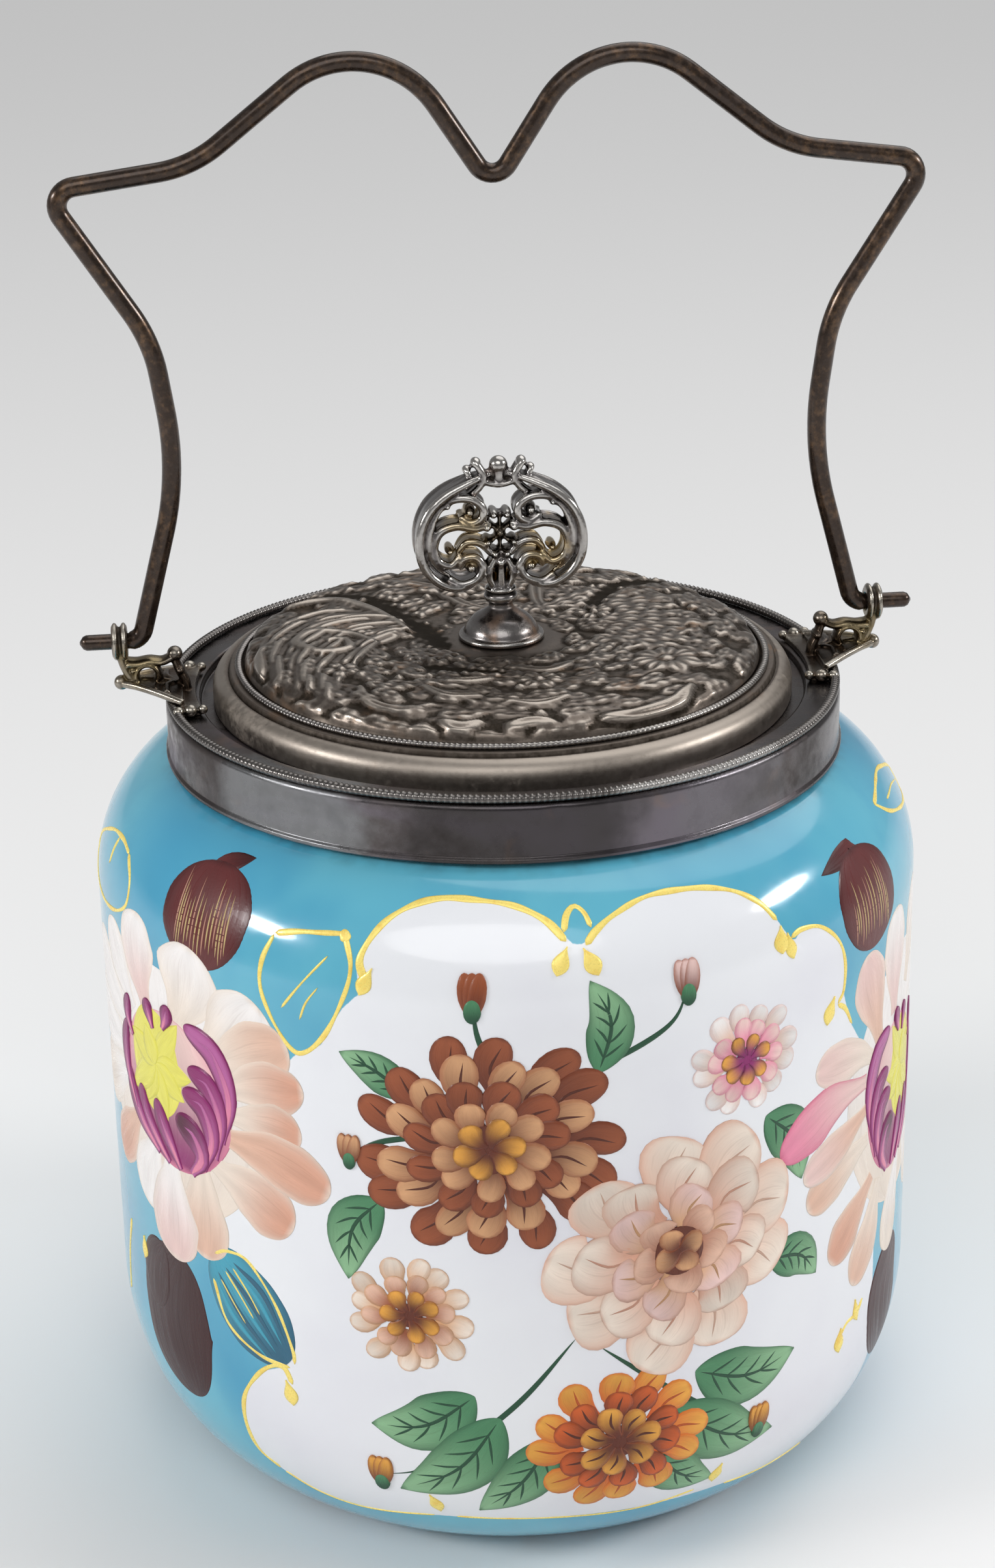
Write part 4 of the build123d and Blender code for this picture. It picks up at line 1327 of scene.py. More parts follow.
    def leaves(self) -> FlowerPainter:
        """The maroon and the turquoise leaves."""
        c, work = Palette, self.painter()
        self.maroon_leaf(work, ((-61.2, 115.6), (-61.8, 124.6), (-62.6, 133.4)), 9.8, (-56.4, 135.8), 17, 1)
        self.maroon_leaf(work, ((62.4, 111.2), (62.6, 120.2), (62, 128.6)), 9.4, (51.6, 127.4), 15, 2)
        for *line, half_w, root, tip, edge in (
                ((-70.5, 60.5), (-74, 47), (-69, 33.5), 11.2, c.dark, c.dark, c.maroon_edge),
                ((-76.5, 59.5), (-79.5, 54), (-80.5, 46), 5.0, c.dark, c.dark, None),
                ((77, 51.5), (71.5, 42), (74, 29.5), 7.4, c.maroon_edge, c.dark, c.maroon_edge),
                ((-60.5, 66.3), (-55, 59.5), (-46, 50), 7.6, c.teal, c.slate, c.slate)):
            work.lay(Petal(line, half_w, root, tip, edge, Plan.DROP))
        for k in range(6):
            shift = 1.9 * k - 4.4
            run = [(a + shift * wide, s + shift * high) for a, s, wide, high in (
                (-59, 63, 0.5, 0.42), (-54, 58, 0.7, 0.72), (-48, 51.6, 0.35, 0.5))]
            work.vein(run, 0.6, c.slate if k % 2 else c.teal)
        return work

    def bouquet(self) -> FlowerPainter:
        """The bunch of flowers in the white field: three large blooms, two small ones, buds and leaves."""
        c, work = Palette, self.painter()
        for line in (((2, 60), (-8, 48), (-22, 36), (-29, 33)), ((6, 58), (20, 46), (33, 36)),
                     ((-8, 104), (-12, 112), (-13, 119)), ((4, 106), (17, 112), (20.5, 118)),
                     ((-20, 96), (-28, 94), (-33, 91))):
            work.vein(line, 0.5, c.leaf_dark)
        for *line, half_w in (
                ((-14, 50), (-22, 44), (-31, 43), 5.2), ((-10, 46), (-17, 36), (-27, 30), 5.6),
                ((-2, 42), (-7, 33), (-14, 26), 4.8), ((22, 50), (32, 46), (42, 47), 5.4),
                ((18, 44), (28, 36), (38, 33), 5.8), ((14, 38), (20, 30), (27, 26), 4.6),
                ((-28, 84), (-33, 78), (-34, 69), 4.4), ((35, 92), (41, 86), (43, 78), 4.6),
                ((6, 106), (8, 114), (5, 121), 3.8), ((-23, 102), (-28, 106), (-34, 108.5), 3.2),
                ((36, 66), (43, 64), (47, 59), 4.0)):
            work.leaf(line, half_w, c.leaf_green, c.leaf_light, c.leaf_dark, c.leaf_dark)
        small = ((12, 0.4, 1.0, 0.19), (10, 0.25, 0.74, 0.17), (7, 0.08, 0.48, 0.14))
        brown, tawny = (c.chestnut, c.auburn, c.chestnut), (c.chestnut, c.tan, c.auburn)
        work.bloom((-24, 64), 10.5, small, ((c.tan, c.cream, c.tan), (c.auburn, c.peach, c.tan),
                                            (c.chestnut, c.amber, c.auburn)), 20, 1.0, 0.1, 5)
        work.bloom((31, 103), 10.0, small, ((c.peach, c.white, c.blush), (c.pink, c.blush, c.pink),
                                            (c.magenta, c.amber, c.wine)), 8, 0.95, 0.1, 6)
        work.bloom((-11, 94), 21.0, ((14, 0.45, 1.0, 0.15), (13, 0.32, 0.82, 0.14), (11, 0.2, 0.64, 0.13),
                                     (9, 0.1, 0.46, 0.11), (6, 0.02, 0.28, 0.09)),
                   (brown, tawny, brown, tawny, (c.chestnut, c.amber, c.chestnut)), 5, 0.92, 0.12, 3)
        work.bloom((9, 40), 15.0, small, ((c.orange, c.amber, c.orange), (c.chestnut, c.orange, c.chestnut),
                                          (c.chestnut, c.amber, c.auburn)), 0, 0.9, 0.1, 4)
        work.bloom((19, 73), 21.5, ((9, 0.42, 1.0, 0.29), (8, 0.28, 0.78, 0.25), (6, 0.16, 0.56, 0.21),
                                    (5, 0.06, 0.36, 0.16), (4, 0.0, 0.2, 0.11)),
                   ((c.peach, c.cream, c.deep_peach), (c.deep_peach, c.cream, c.peach_edge),
                    (c.tan, c.blush, c.peach_edge), (c.auburn, c.peach, c.peach_edge), tawny),
                   12, 0.95, 0.16, 2, 0.12)
        work.height = 0.2
        for a, s, size, tip in (
                (-13, 119.5, 3.4, c.auburn), (20.5, 119, 3.2, c.blush), (-30, 33.5, 3.2, c.amber),
                (34.5, 36.5, 3.0, c.amber), (-33, 92, 2.6, c.tan)):
            for lean in (-1.1, 0.0, 1.1):
                work.lay(Petal(((a, s - size), (a + lean * 0.7, s), (a + lean * 1.1, s + size)), size * 0.42,
                               c.chestnut, tip, c.auburn, Plan.DROP))
            work.lay(Petal(((a, s - size * 1.3), (a, s - size * 0.7), (a, s - size * 0.2)), size * 0.4,
                           c.leaf_dark, c.leaf_green, None, Plan.DROP))
        return work

    def back_spray(self) -> FlowerPainter:
        """The plainer flower and leaves on the back of the jar."""
        c, work, back = Palette, self.painter(), np.pi * self.form.body_r
        for *line, half_w in (((-14, 82), (-26, 90), (-36, 100), 6.0), ((14, 78), (27, 74), (38, 64), 6.0),
                              ((6, 96), (14, 106), (24, 113), 5.0), ((-8, 64), (-18, 54), (-30, 49), 5.4)):
            work.leaf(np.array(line) + (back, 0), half_w, c.maroon, c.maroon_edge, c.dark, c.straw, 5)
        work.bloom((back, 80), 22, ((10, 0.4, 1.0, 0.24), (8, 0.3, 0.76, 0.2)),
                   ((c.peach, c.white, c.peach), (c.blush, c.cream, c.peach)), 10, 1.0, 0.08, 9)
        self.heart(work, 0.62, (back + 1.5, 80))
        return work

    def gilding(self) -> Skin:
        """The raised gold: arches, scrolls, leaf outlines, veins and drops, and the frame at the back."""
        g, back = Brush(self.form), np.pi * self.form.body_r
        skins = [g.gold(points, half_w) for *points, half_w in (
            ((-29.6, 120.4), (-30.8, 124), (-28, 129.4), (-23.6, 132.8), (-18.2, 134.4), (-11.5, 134.1),
             (-6, 133.1), (-1.2, 130.6), (1.8, 127.2), 0.62),
            ((4.9, 126.4), (6.8, 128.4), (10.4, 130.6), (16.8, 132.7), (25.2, 132.5), (31.8, 130.7),
             (36.2, 127.6), (38.6, 124), 0.55),
            ((1.6, 128.6), (2.3, 131.2), (3.8, 132.6), (5.3, 131.4), (6.1, 129), 0.5),
            ((40.6, 120.6), (43.2, 121.2), (47.4, 120.3), (51.3, 116.8), (53.2, 112.3), (53, 107.6),
             (51.4, 105.8), 0.42),
            ((51.4, 105.6), (53.6, 104), (55.6, 100.6), 0.42),
            ((-46.2, 125.3), (-42, 126.3), (-38, 126.8), (-33.4, 127.3), 0.5),
            ((-34.9, 127.3), (-34, 127), (-33.4, 126), 0.85),
            ((-34, 127.3), (-32.2, 122.4), (-33.2, 117.2), (-36.8, 110.2), (-41.2, 106.8), (-45, 110.4),
             (-47.6, 116), (-47.8, 120.6), (-46.4, 125), 0.45),
            ((-43.8, 113.9), (-40.4, 118.4), (-36.2, 123.5), 0.22),
            ((-40.6, 112.6), (-39.4, 115.6), (-37.4, 118.4), 0.18),
            ((-60.8, 65.2), (-57.6, 66.8), (-53, 66.4), (-48, 60.6), (-45, 53.4), (-44.6, 50.4), 0.38),
            ((-61.5, 60.2), (-58.6, 53.2), (-52, 49.8), (-45.6, 49.4), 0.42),
            ((-58.4, 62.8), (-55.4, 59.6), (-52.6, 56.2), 0.24),
            ((-56.6, 64), (-53.6, 60.8), (-51.2, 57.4), 0.22),
            ((-59.6, 60.8), (-56.8, 57.4), (-54.4, 54.6), 0.18),
            ((-45.2, 46.4), (-46.8, 49), (-49.4, 48.4), (-52.6, 45.4), (-55.6, 40.4), (-56.2, 34.6),
             (-54.8, 29), (-51, 26.2), 0.5),
            ((-50, 25.6), (-43.4, 22.6), (-35, 21.6), (-22, 23.4), 0.22),
            ((-18, 23.6), (-2, 23.2), (13.5, 22.4), (24, 23.6), 0.22),
            ((31, 21.6), (42, 19.6), (53, 18.5), 0.24),
            ((61.8, 46.6), (59.8, 44.8), (56.6, 44.6), (54.6, 43.2), 0.42),
            ((-88.5, 125.9), (-84.2, 122.4), (-84, 118.3), (-90, 115.4), (-99.2, 114.6), (-108, 116.4),
             (-110.5, 120.6), (-101.2, 125.4), (-94, 126.6), (-88.5, 125.9), 0.42),
            ((-95.4, 126.2), (-95.8, 124), (-95.6, 121.4), 0.4),
            ((-92, 56.5), (-95.6, 48), (-97.2, 39.8), 0.5),
            ((79.2, 130.5), (88, 131.8), (96, 131.2), (107.8, 125.7), (104, 122.6), (94, 124), (84, 127),
             (79.2, 130.5), 0.42),
            ((86, 128.6), (94, 128), (101, 126), 0.2))]
        for a, s, lean, size in (
                (-29.6, 120.2, -0.9, 1.0), (0.9, 124.0, -1.0, 1.05), (5.4, 123.6, 1.0, 1.1),
                (38.6, 120.6, -0.4, 1.2), (40.2, 119.2, 0.2, 0.9), (49.4, 105.0, -1.0, 1.15),
                (-45.8, 44.4, 0.7, 1.1), (-21.4, 27.0, 0.8, 0.9), (27.8, 26.6, -0.6, 0.95),
                (54.2, 42.2, -0.4, 1.1), (59.4, 45.4, 0.3, 0.8), (-84.5, 54.9, 0.0, 1.0)):
            drop = [(a - lean, s + 2.4), (a, s + 0.4), (a + lean, s - 1.9)]
            skins.append(g.gold(drop, 1.25 * size, 0.26, True))
        for way in (-1, 1):
            for *points, half_w in (
                    ((50, 40), (40, 34), (24, 31), (8, 33), (0, 37), 0.42),
                    ((54, 122), (42, 128), (26, 129), (12, 125), (2, 120), 0.42),
                    ((56, 116), (62, 104), (60, 92), (54, 84), 0.42),
                    ((54, 46), (60, 56), (60, 68), (54, 76), 0.42),
                    ((1.4, 38), (0.8, 36.4), (0, 35), 1.2), ((2.6, 119.6), (1.6, 118), (1, 116.6), 1.2)):
                is_drop = half_w > 1
                run = [(back + way * a, s) for a, s in points]
                skins.append(g.gold(run, half_w, 0.26 if is_drop else 0.12, is_drop))
        return Skin.joined(skins)

    def build(self, enamel: Material, gold: Material) -> None:
        """Builds each painted group and the gilding, and dresses them."""
        for name, work in (("painted_leaves", self.leaves), ("left_painted_flower", self.left_flower),
                           ("right_painted_flower", self.right_flower), ("painted_bouquet", self.bouquet),
                           ("painted_back_spray", self.back_spray)):
            work().build(name, enamel)
        dress(self.gilding().build("raised_gilding"), gold, "jar", "opal_glass")


# ---- Collar ----

def milled_ring(radius: float, z: float, half_w: float, half_h: float, pitch: float, depth: float,
                fade: Callable[[Floats], Floats]) -> Skin:
    """A ring of half-round wire with fine ribs across it, and its relief field.

    Its section is an ellipse. Round the ring the section grows and shrinks by the depth times a
    cosine with one wave for each rib, and fade tells how much of the ribs is left at each angle.

    Args:
        radius: radius of the wire's middle.
        z: height of the wire's underside.
        half_w, half_h: half of the wire's width and of its height.
        pitch: distance between ribs.
        depth: depth of the grooves.
        fade: angle to share of the full depth.
    """
    ribs = round(2 * np.pi * radius / pitch)
    turns = full_turn(ribs * 4)
    left = fade(turns)
    wave = 0.5 - 0.5 * np.cos(turns * ribs)
    cut = depth * wave * left
    section = oval(10)
    r = radius + section[:, :1] * (half_w - cut * 0.5)
    height = z + half_h + section[:, 1:] * half_h - np.where(section[:, 1:] > 0, cut * section[:, 1:], 0)
    grid = np.stack([r * np.sin(turns), -r * np.cos(turns), height], axis=-1)
    relief = np.broadcast_to(0.78 - 0.7 * wave * left, r.shape)
    return weave(grid, ring=True, fields={"relief": relief})


@dataclass
class Collar:
    """The spun collar that is cemented to the neck, with the milled wire round its rim."""

    band_r: float = 56.0
    sheet: float = 0.9
    lip_out: float = 0.4
    skirt_z: float = 123.9
    top_z: float = 133.4
    gallery_r: float = 50.2
    gallery_drop: float = 1.5
    mouth_r: float = 45.4
    mouth_z: float = 127.4
    columns: int = 420
    wire_r: float = 55.2
    wire_half: float = 0.8
    rib_pitch: float = 0.92
    dents: tuple[tuple[float, float, float, float], ...] = (
        (2.0, 131.5, 2.2, -0.22), (9.5, 129.0, 2.0, -0.20), (14.0, 130.2, 1.6, -0.16),
        (-38.0, 128.0, 3.0, -0.12), (31.0, 126.5, 3.4, -0.12), (95.0, 129.0, 3.5, -0.18),
        (170.0, 127.5, 2.8, -0.2), (248.0, 130.0, 2.6, -0.15))

    def outline(self) -> Floats:
        """The sheet's section, from its lower lip over the top to the mouth and back inside."""
        out, top, mouth, gallery = self.band_r, self.top_z, self.mouth_r, self.gallery_r
        inn, floor = out - self.sheet, top - self.gallery_drop
        corners = [(out + self.lip_out, self.skirt_z), (out + self.lip_out, self.skirt_z + 0.7),
                   (out, self.skirt_z + 1.1), (out, top), (gallery, top), (gallery, floor), (mouth, floor),
                   (mouth, self.mouth_z), (mouth + self.sheet, self.mouth_z),
                   (mouth + self.sheet, floor - self.sheet), (gallery + self.sheet, floor - self.sheet),
                   (gallery + self.sheet, top - self.sheet), (inn, top - self.sheet), (inn, self.skirt_z)]
        radii = [0.3, 0.3, 0.3, 1.0, 0.5, 0.3, 0.9, 0.35, 0.35, 0.3, 0.3, 0.2, 0.3, 0.3]
        return refined(rounded(corners, radii, 6), 0.8)

    def build(self, metal: Material, milled: Material) -> None:
        """Builds the band with its dents and the milled wire, and dresses both.

        A dent pushes the wall by its depth times a bell curve of the distance from its middle.
        """
        turns = full_turn(self.columns)
        grid = turned(self.outline(), turns)
        push = np.zeros(grid.shape[:2])
        for azimuth, z, width, depth in self.dents:
            round_off = (np.degrees(turns) - azimuth + 180) % 360 - 180
            away = (np.radians(round_off) * self.band_r) ** 2 + (grid[..., 2] - z) ** 2
            push += depth * np.exp(-away / (2 * (width / 2) ** 2))
        outer = np.hypot(grid[..., 0], grid[..., 1]) > self.gallery_r + 2
        wander = 0.05 * np.sin(turns * 5 + 1.0) + 0.04 * np.sin(turns * 11 + 2.0)
        push = np.where(outer, push + wander, 0)
        out = np.stack([np.sin(turns), -np.cos(turns), np.zeros_like(turns)], axis=-1)
        piece = weave(grid + push[..., None] * out, ring=True).build("spun_collar", 50)
        dress(piece, metal, "jar", "collar_metal", "collar_band")
        wire = milled_ring(self.wire_r, self.top_z, self.wire_half, 0.75, self.rib_pitch, 0.34,
                           lambda t: 0.75 + 0.25 * np.sin(t * 3 + 0.6)).build("rim_milling")
        dress(wire, milled, "jar", "collar_metal", "collar_milled_wire")


# ---- Lid ----

@dataclass
class Chasing:
    """Raises ornament on a set of places of the lid's top.

    Attributes:
        places: (n, 2) x and y in millimetres.
        height: (n,) what has been raised so far.
        painted_shade: (n,) how far each place is darkened by painted shade, from 0 to 1.
    """

    places: Floats
    height: Floats
    painted_shade: Floats

    def near(self, path: Floats, reach: float) -> tuple[NDArray[np.int64], Floats, Floats, Floats]:
        """The places near a path.

        Returns:
            Their indices, and for each its distance from the path, the share of the path's length
            at the nearest point, and on which side it lies.
        """
        low, high = path.min(axis=0) - reach, path.max(axis=0) + reach
        inside = np.flatnonzero(((self.places > low) & (self.places < high)).all(axis=1))
        p0, d = path[:-1], np.diff(path, axis=0)
        square = np.maximum((d ** 2).sum(axis=1), 1e-9)
        found = []
        for block in np.array_split(inside, max(1, len(inside) // 8000)):
            q = self.places[block][:, None] - p0
            t = np.clip((q * d).sum(-1) / square, 0, 1)
            gap = q - t[..., None] * d
            distance = np.linalg.norm(gap, axis=-1)
            k = distance.argmin(axis=1)
            rows = np.arange(len(block))
            side = np.sign(d[k, 0] * gap[rows, k, 1] - d[k, 1] * gap[rows, k, 0])
            found.append((block, distance[rows, k], (k + t[rows, k]) / len(d), side))
        return tuple(np.concatenate(x) for x in zip(*found))

    def lift(self, index: NDArray[np.int64], inside: Floats, height: Floats) -> None:
        """Raises the places inside a form to its height where that is more than they have."""
        better = (inside > 0) & (height > self.height[index])
        self.height[index[better]] = height[better]

    def scroll(self, path: Floats, width: float, rise: float, fluted: bool = False) -> None:
        """A raised band that tapers to both ends: rise * (1 - (d / w)^2)^0.6, fluted by a middle groove."""
        index, away, share, _ = self.near(path, width * 1.2)
        w = width * (0.3 + 0.7 * np.sin(np.pi * np.clip(share, 0.0, 1.0)) ** 0.6)
        inside = np.clip(1 - (away / w) ** 2, 0, 1)
        height = rise * inside ** 0.6
        if fluted:
            height -= rise * 0.45 * np.exp(-(away / (0.28 * w)) ** 2)
        self.lift(index, inside, height)

    def leaf(self, path: Floats, width: float, rise: float, veins: int) -> None:
        """A chased leaf: a crowned blade whose side veins lean towards its tip."""
        index, away, share, _ = self.near(path, width * 1.2)
        lobes = 0.84 + 0.16 * np.abs(np.sin(np.pi * share * veins))
        w = width * np.maximum(Plan.LEAF.widths(np.clip(share, 0.01, 0.99)), 0.05) * lobes
        inside = np.clip(1 - (away / w) ** 2, 0, 1)
        lean = np.sin(2 * np.pi * (share * veins - 0.8 * away / width))
        height = rise * inside ** 0.5 * (0.86 + 0.14 * lean) - rise * 0.3 * np.exp(-(away / 0.35) ** 2)
        self.lift(index, inside, height)

    def boss(self, x: float, y: float, radius: float, rise: float) -> None:
        """A round bead."""
        away = np.hypot(self.places[:, 0] - x, self.places[:, 1] - y)
        self.height = np.maximum(self.height, rise * np.sqrt(np.clip(1 - (away / radius) ** 2, 0, 1)))

    def clear(self, middle: Floats, radius: float, floor: float) -> None:
        """Presses a round field down to a share of its height."""
        away = np.linalg.norm(self.places - middle, axis=1) / radius
        self.height *= 1 - (1 - floor) * (1 - smooth_step(away, 0.8, 1.1))

    def wing(self, first: Sequence[Place], last: Sequence[Place], count: int, width: float,
             rise: float) -> None:
        """Feathered strands side by side, spread evenly from a first path to a last one.

        Each strand is cut into short runs that taper at both ends, a third of a run further on
        from strand to strand.
        """
        for k, share in enumerate(np.linspace(0, 1, count)):
            path = through(np.asarray(first) * (1 - share) + np.asarray(last) * share, 48)
            for start in range(-4 * (k % 3), 44, 12):
                run = path[max(start, 0):start + 14]
                if len(run) > 4:
                    self.scroll(run, width, rise * (0.65 + 0.15 * ((3 * k + start // 4) % 5)))

    def hollow(self, path: Floats, width: float, depth: float) -> None:
        """Sinks a trough with ragged sides along a path and darkens it with painted shade, its ornament
        less.
        """
        index, away, share, _ = self.near(path, width * 2.2)
        w = width * (0.4 + 0.6 * np.sin(np.pi * np.clip(share, 0.02, 0.98)) ** 0.5)
        x, y = self.places[index].T
        ragged = 1 + 0.22 * np.sin(1.3 * x + 2.1 * y) + 0.16 * np.sin(3.1 * x - 1.7 * y)
        sunk = np.exp(-(away / (w * ragged)) ** 2)
        left = np.clip(self.height[index], 0, 1)
        self.height[index] = self.height[index] * (1 - 0.8 * sunk) - depth * sunk
        self.painted_shade[index] = np.maximum(self.painted_shade[index], smooth_step(sunk, 0.15, 0.95) * (1 - 0.35 * left))


def softened(values: Floats, rounds: int) -> Floats:
    """The values with each one mixed with its neighbours, round after round."""
    for _ in range(rounds):
        values = (np.roll(values, 1, 1) + np.roll(values, -1, 1) + 2 * values) / 4
        values[1:-1] = (values[:-2] + values[2:] + 2 * values[1:-1]) / 4
    return values


@dataclass
class Lid:
    """The stamped lid: edge moulding, milled wire and chased top."""

    lid_r: float = 48.1
    seat_z: float = 131.9
    lip_z: float = 134.2
    edge_r: float = 2.7
    step_r: float = 45.1
    step_z: float = 137.5
    dome_r: float = 42.9
    rise_r: float = 41.5
    rise_z: float = 140.3
    crest_r: float = 32.0
    crest_z: float = 141.5
    centre_r: float = 8.5
    centre_z: float = 140.6
    hole_r: float = 1.7
    sheet: float = 0.8
    columns: int = 504
    chased_rows: int = 124
    wire_r: float = 43.65
    wire_half: float = 0.65
    relief: float = 0.95

    def top(self, r: Floats) -> Floats:
        """Height of the plain top: rises to the crest and sinks gently to the centre."""
        radii = [0.0, self.centre_r, 14.0, 24.0, self.crest_r, 38.0, 40.2, self.rise_r, 42.3, self.dome_r]
        heights = [self.centre_z, self.centre_z, 140.75, 141.25, self.crest_z, 141.1, 140.7,
                   self.rise_z - 0.4, 139.0, self.step_z]
        return np.interp(r, radii, heights)

    def chase(self, x: Floats, y: Floats) -> tuple[Floats, Floats]:
        """The ornament's height over the plain top at each place, and how far painted shade darkens it.

        Leaves on swirling rings fill the ground. Over them lie a wing of curled strands, a fan of long
        leaves, blossoms with beaded hearts, smooth scrolls and hollows darkened with painted shade, the
        longest of which runs in to the knob.
        """
        work = Chasing(np.stack([x.ravel(), y.ravel()], axis=1), np.zeros(x.size), np.zeros(x.size))
        dice = np.random.default_rng(11)

        def at(*points: Place) -> Floats:
            """A curve through (radius, degrees from the front towards +X)."""
            flat = [(r * np.sin(np.radians(a)), -r * np.cos(np.radians(a))) for r, a in points]
            return through(flat, 8 * len(flat))

        for ring in np.arange(12.0, 43, 2.95):
            count = int(2 * np.pi * ring / 4.7)
            for k in range(count):
                a, r = 360 * (k + dice.uniform(-0.3, 0.3)) / count, ring + dice.uniform(-1.0, 1.0)
                out, turn = dice.uniform(-3.0, 3.4), dice.uniform(4.6, 8.0)
                turn *= 1 if dice.uniform() < 0.7 else -1
                work.leaf(at((r, a), (r + 0.2 * out, a + np.degrees(turn * 0.5 / r)),
                             (min(r + out, 42.2), a + np.degrees(turn / r))), dice.uniform(1.4, 2.4),
                          dice.uniform(0.5, 1.0), 3)
        work.wing(((-15, 10), (-21, 14.5), (-30, 14.2), (-37, 7.5), (-40, -2), (-39.8, -12)),
                  ((-14.5, 4.5), (-18, 1.5), (-22, -4), (-25, -11), (-28, -18.5), (-29.5, -27)),
                  13, 1.0, 1.0)
        for k in range(9):
            a = 66 + 8.5 * k
            first, last = (15 + 2 * (k % 2), a + 14), (38 - 3 * (k % 3), a - 3)
            work.leaf(at(first, (24, a + 3), (32, a - 2), last), 2.6, 1.05, 6)
        curl = at((21, -84), (25, -96), (31, -98), (34, -89), (31, -79), (26, -80), (26, -89), (29, -90))
        work.scroll(curl, 1.5, 1.3)
        for r, a, turn in ((34, -108, 40), (37, -92, 70), (33, -74, 60), (38, -70, 50), (28, -66, 80),
                           (21, -100, 30)):
            work.leaf(at((r, a), (r + 2, a + turn * 2.2 / r), (r + 1.5, a + turn * 5 / r)), 1.8, 1.35, 3)
        for *path, width, depth in (((39, -130), (34, -136), (28, -136), (21, -130), (15, -121), 1.9, 1.3),
                                    ((18, -126), (13.5, -116), (11, -95), (10.4, -68), 2.6, 1.1),
                                    ((40, 128), (33, 134), (25, 131), (18, 120), 1.5, 0.8),
                                    ((19, -46), (17.5, -28), (18, -6), 1.5, 0.5)):
            work.hollow(at(*path), width, depth)
        for *path, width, rise in (
                ((40.5, -121), (35, -128), (28, -128), (21, -121), (16, -108), 1.6, 1.15),
                ((41, 16), (41.6, 24), (41.4, 34), (39.6, 43), 1.3, 1.5),
                ((25, -26), (24, -18), (22.4, -10), 1.5, 1.4),
                ((33.5, -48), (37.5, -40), (38.5, -30), (35, -24), 1.2, 1.1),
                ((28.5, -32), (31.5, -22), (31, -12), 1.3, 1.2), ((33, -5), (34.6, 3), (33, 12), 1.2, 1.2),
                ((40.4, -20), (41.2, -15), (40, -11), 1.1, 1.2), ((41, -5), (40.2, 0), (40.6, 5), 1.1, 1.2),
                ((16, 0), (19, 16), (18, 34), 1.3, 0.9),
                ((38, 150), (30, 160), (20, 156), (14, 140), 1.5, 1.0),
                ((36, -150), (28, -160), (18, -165), (13, 178), 1.5, 1.0),
                ((39, 170), (36, -174), (38, -158), 1.3, 0.9)):
            work.scroll(at(*path), width, rise, width < 1.55)
        for r, a, size, petals in ((30.5, 54, 6.4, 7), (28, 184, 6.0, 7), (24, 8, 4.2, 6), (31, -62, 3.6, 5),
                                   (19, 118, 3.8, 5), (24, -168, 3.6, 5)):
            middle = at((r, a), (r + 1, a))[0]
            work.clear(middle, size * 0.95, 0.25)
            for k in range(petals):
                way = np.array([np.sin(2 * np.pi * k / petals + a), np.cos(2 * np.pi * k / petals + a)])
                work.leaf(line(middle + way * size * 0.2, middle + way * size, 10), size * 0.4, 1.1, 1)
            work.boss(*middle, size * 0.24, 1.2)
        for _ in range(40):
            r, a = dice.uniform(13, 40), dice.uniform(-180, 180)
            work.boss(*at((r, a), (r + 1, a))[0], dice.uniform(0.6, 1.0), 1.0)
        return work.height.reshape(x.shape), work.painted_shade.reshape(x.shape)

    def build(self, chased: Material, milled: Material) -> None:
        """Builds the stamped sheet and its milled wire, and dresses both."""
        turns = full_turn(self.columns)
        inner_r = np.concatenate([np.linspace(self.hole_r, self.centre_r - 1, 4),
                                  np.linspace(self.centre_r, self.rise_r, self.chased_rows),
                                  np.linspace(self.rise_r + 0.16, self.dome_r - 0.1, 9)])
        r, turn = np.meshgrid(inner_r, turns, indexing="ij")
        x, y = r * np.sin(turn), -r * np.cos(turn)
        fade = smooth_step(inner_r, self.centre_r - 0.5, self.centre_r + 3)[:, None]
        fade = fade * (1 - smooth_step(inner_r, self.rise_r + 0.2, self.dome_r - 0.2))[:, None]
        raised, painted_shade = self.chase(x, y)
        raised = softened(raised, 1) * fade * self.relief
        push = 1 + 0.5 * raised * smooth_step(r, 40.0, self.rise_r) / r
        chased_part = np.stack([x * push, y * push, self.top(r) + raised - 0.45 * fade], axis=-1)
        round_r, below, inner = self.lid_r - self.edge_r, self.step_z - self.sheet, self.lid_r - self.sheet
        step = [(self.rise_r, self.rise_z), (self.dome_r, self.step_z), (self.step_r, self.step_z),
                (self.step_r + 0.25, self.lip_z + self.edge_r - 0.45)]
        lip = [(self.lid_r, self.lip_z), (self.lid_r, self.seat_z), (inner, self.seat_z),
               (inner, self.lip_z)]
        edge = trail(rounded(step, [0.5, 0.5, 0.3, 0.0], closed=False)[1:],
                     arc((round_r, self.lip_z), self.edge_r, 82, 0, 18), rounded(lip, 0.3, 4, closed=False))
        under = trail(arc((round_r, self.lip_z), self.edge_r - self.sheet, 0, 86, 7),
                      line((self.step_r - 0.4, below), (self.dome_r - 0.6, below), 2),
                      line((self.rise_r - 0.9, self.rise_z - self.sheet),
                           (self.crest_r, self.crest_z - self.sheet - 0.5), 6),
                      line((24.0, 140.2), (self.hole_r, self.centre_z - self.sheet), 8))
        grid = np.concatenate([chased_part, turned(edge, turns), turned(under, turns)])
        proud = 0.40 + (raised - softened(raised, 7)) * 3.4 + (raised - 0.4) * 0.4 * fade
        bead = np.interp(edge[:, 0], [self.rise_r, self.dome_r, self.step_r - 1.0, self.step_r + 0.3,
                                      self.step_r + 1.0, self.lid_r - 1, self.lid_r],
                         [0.4, 0.12, 0.85, 0.08, 0.8, 0.95, 0.8])
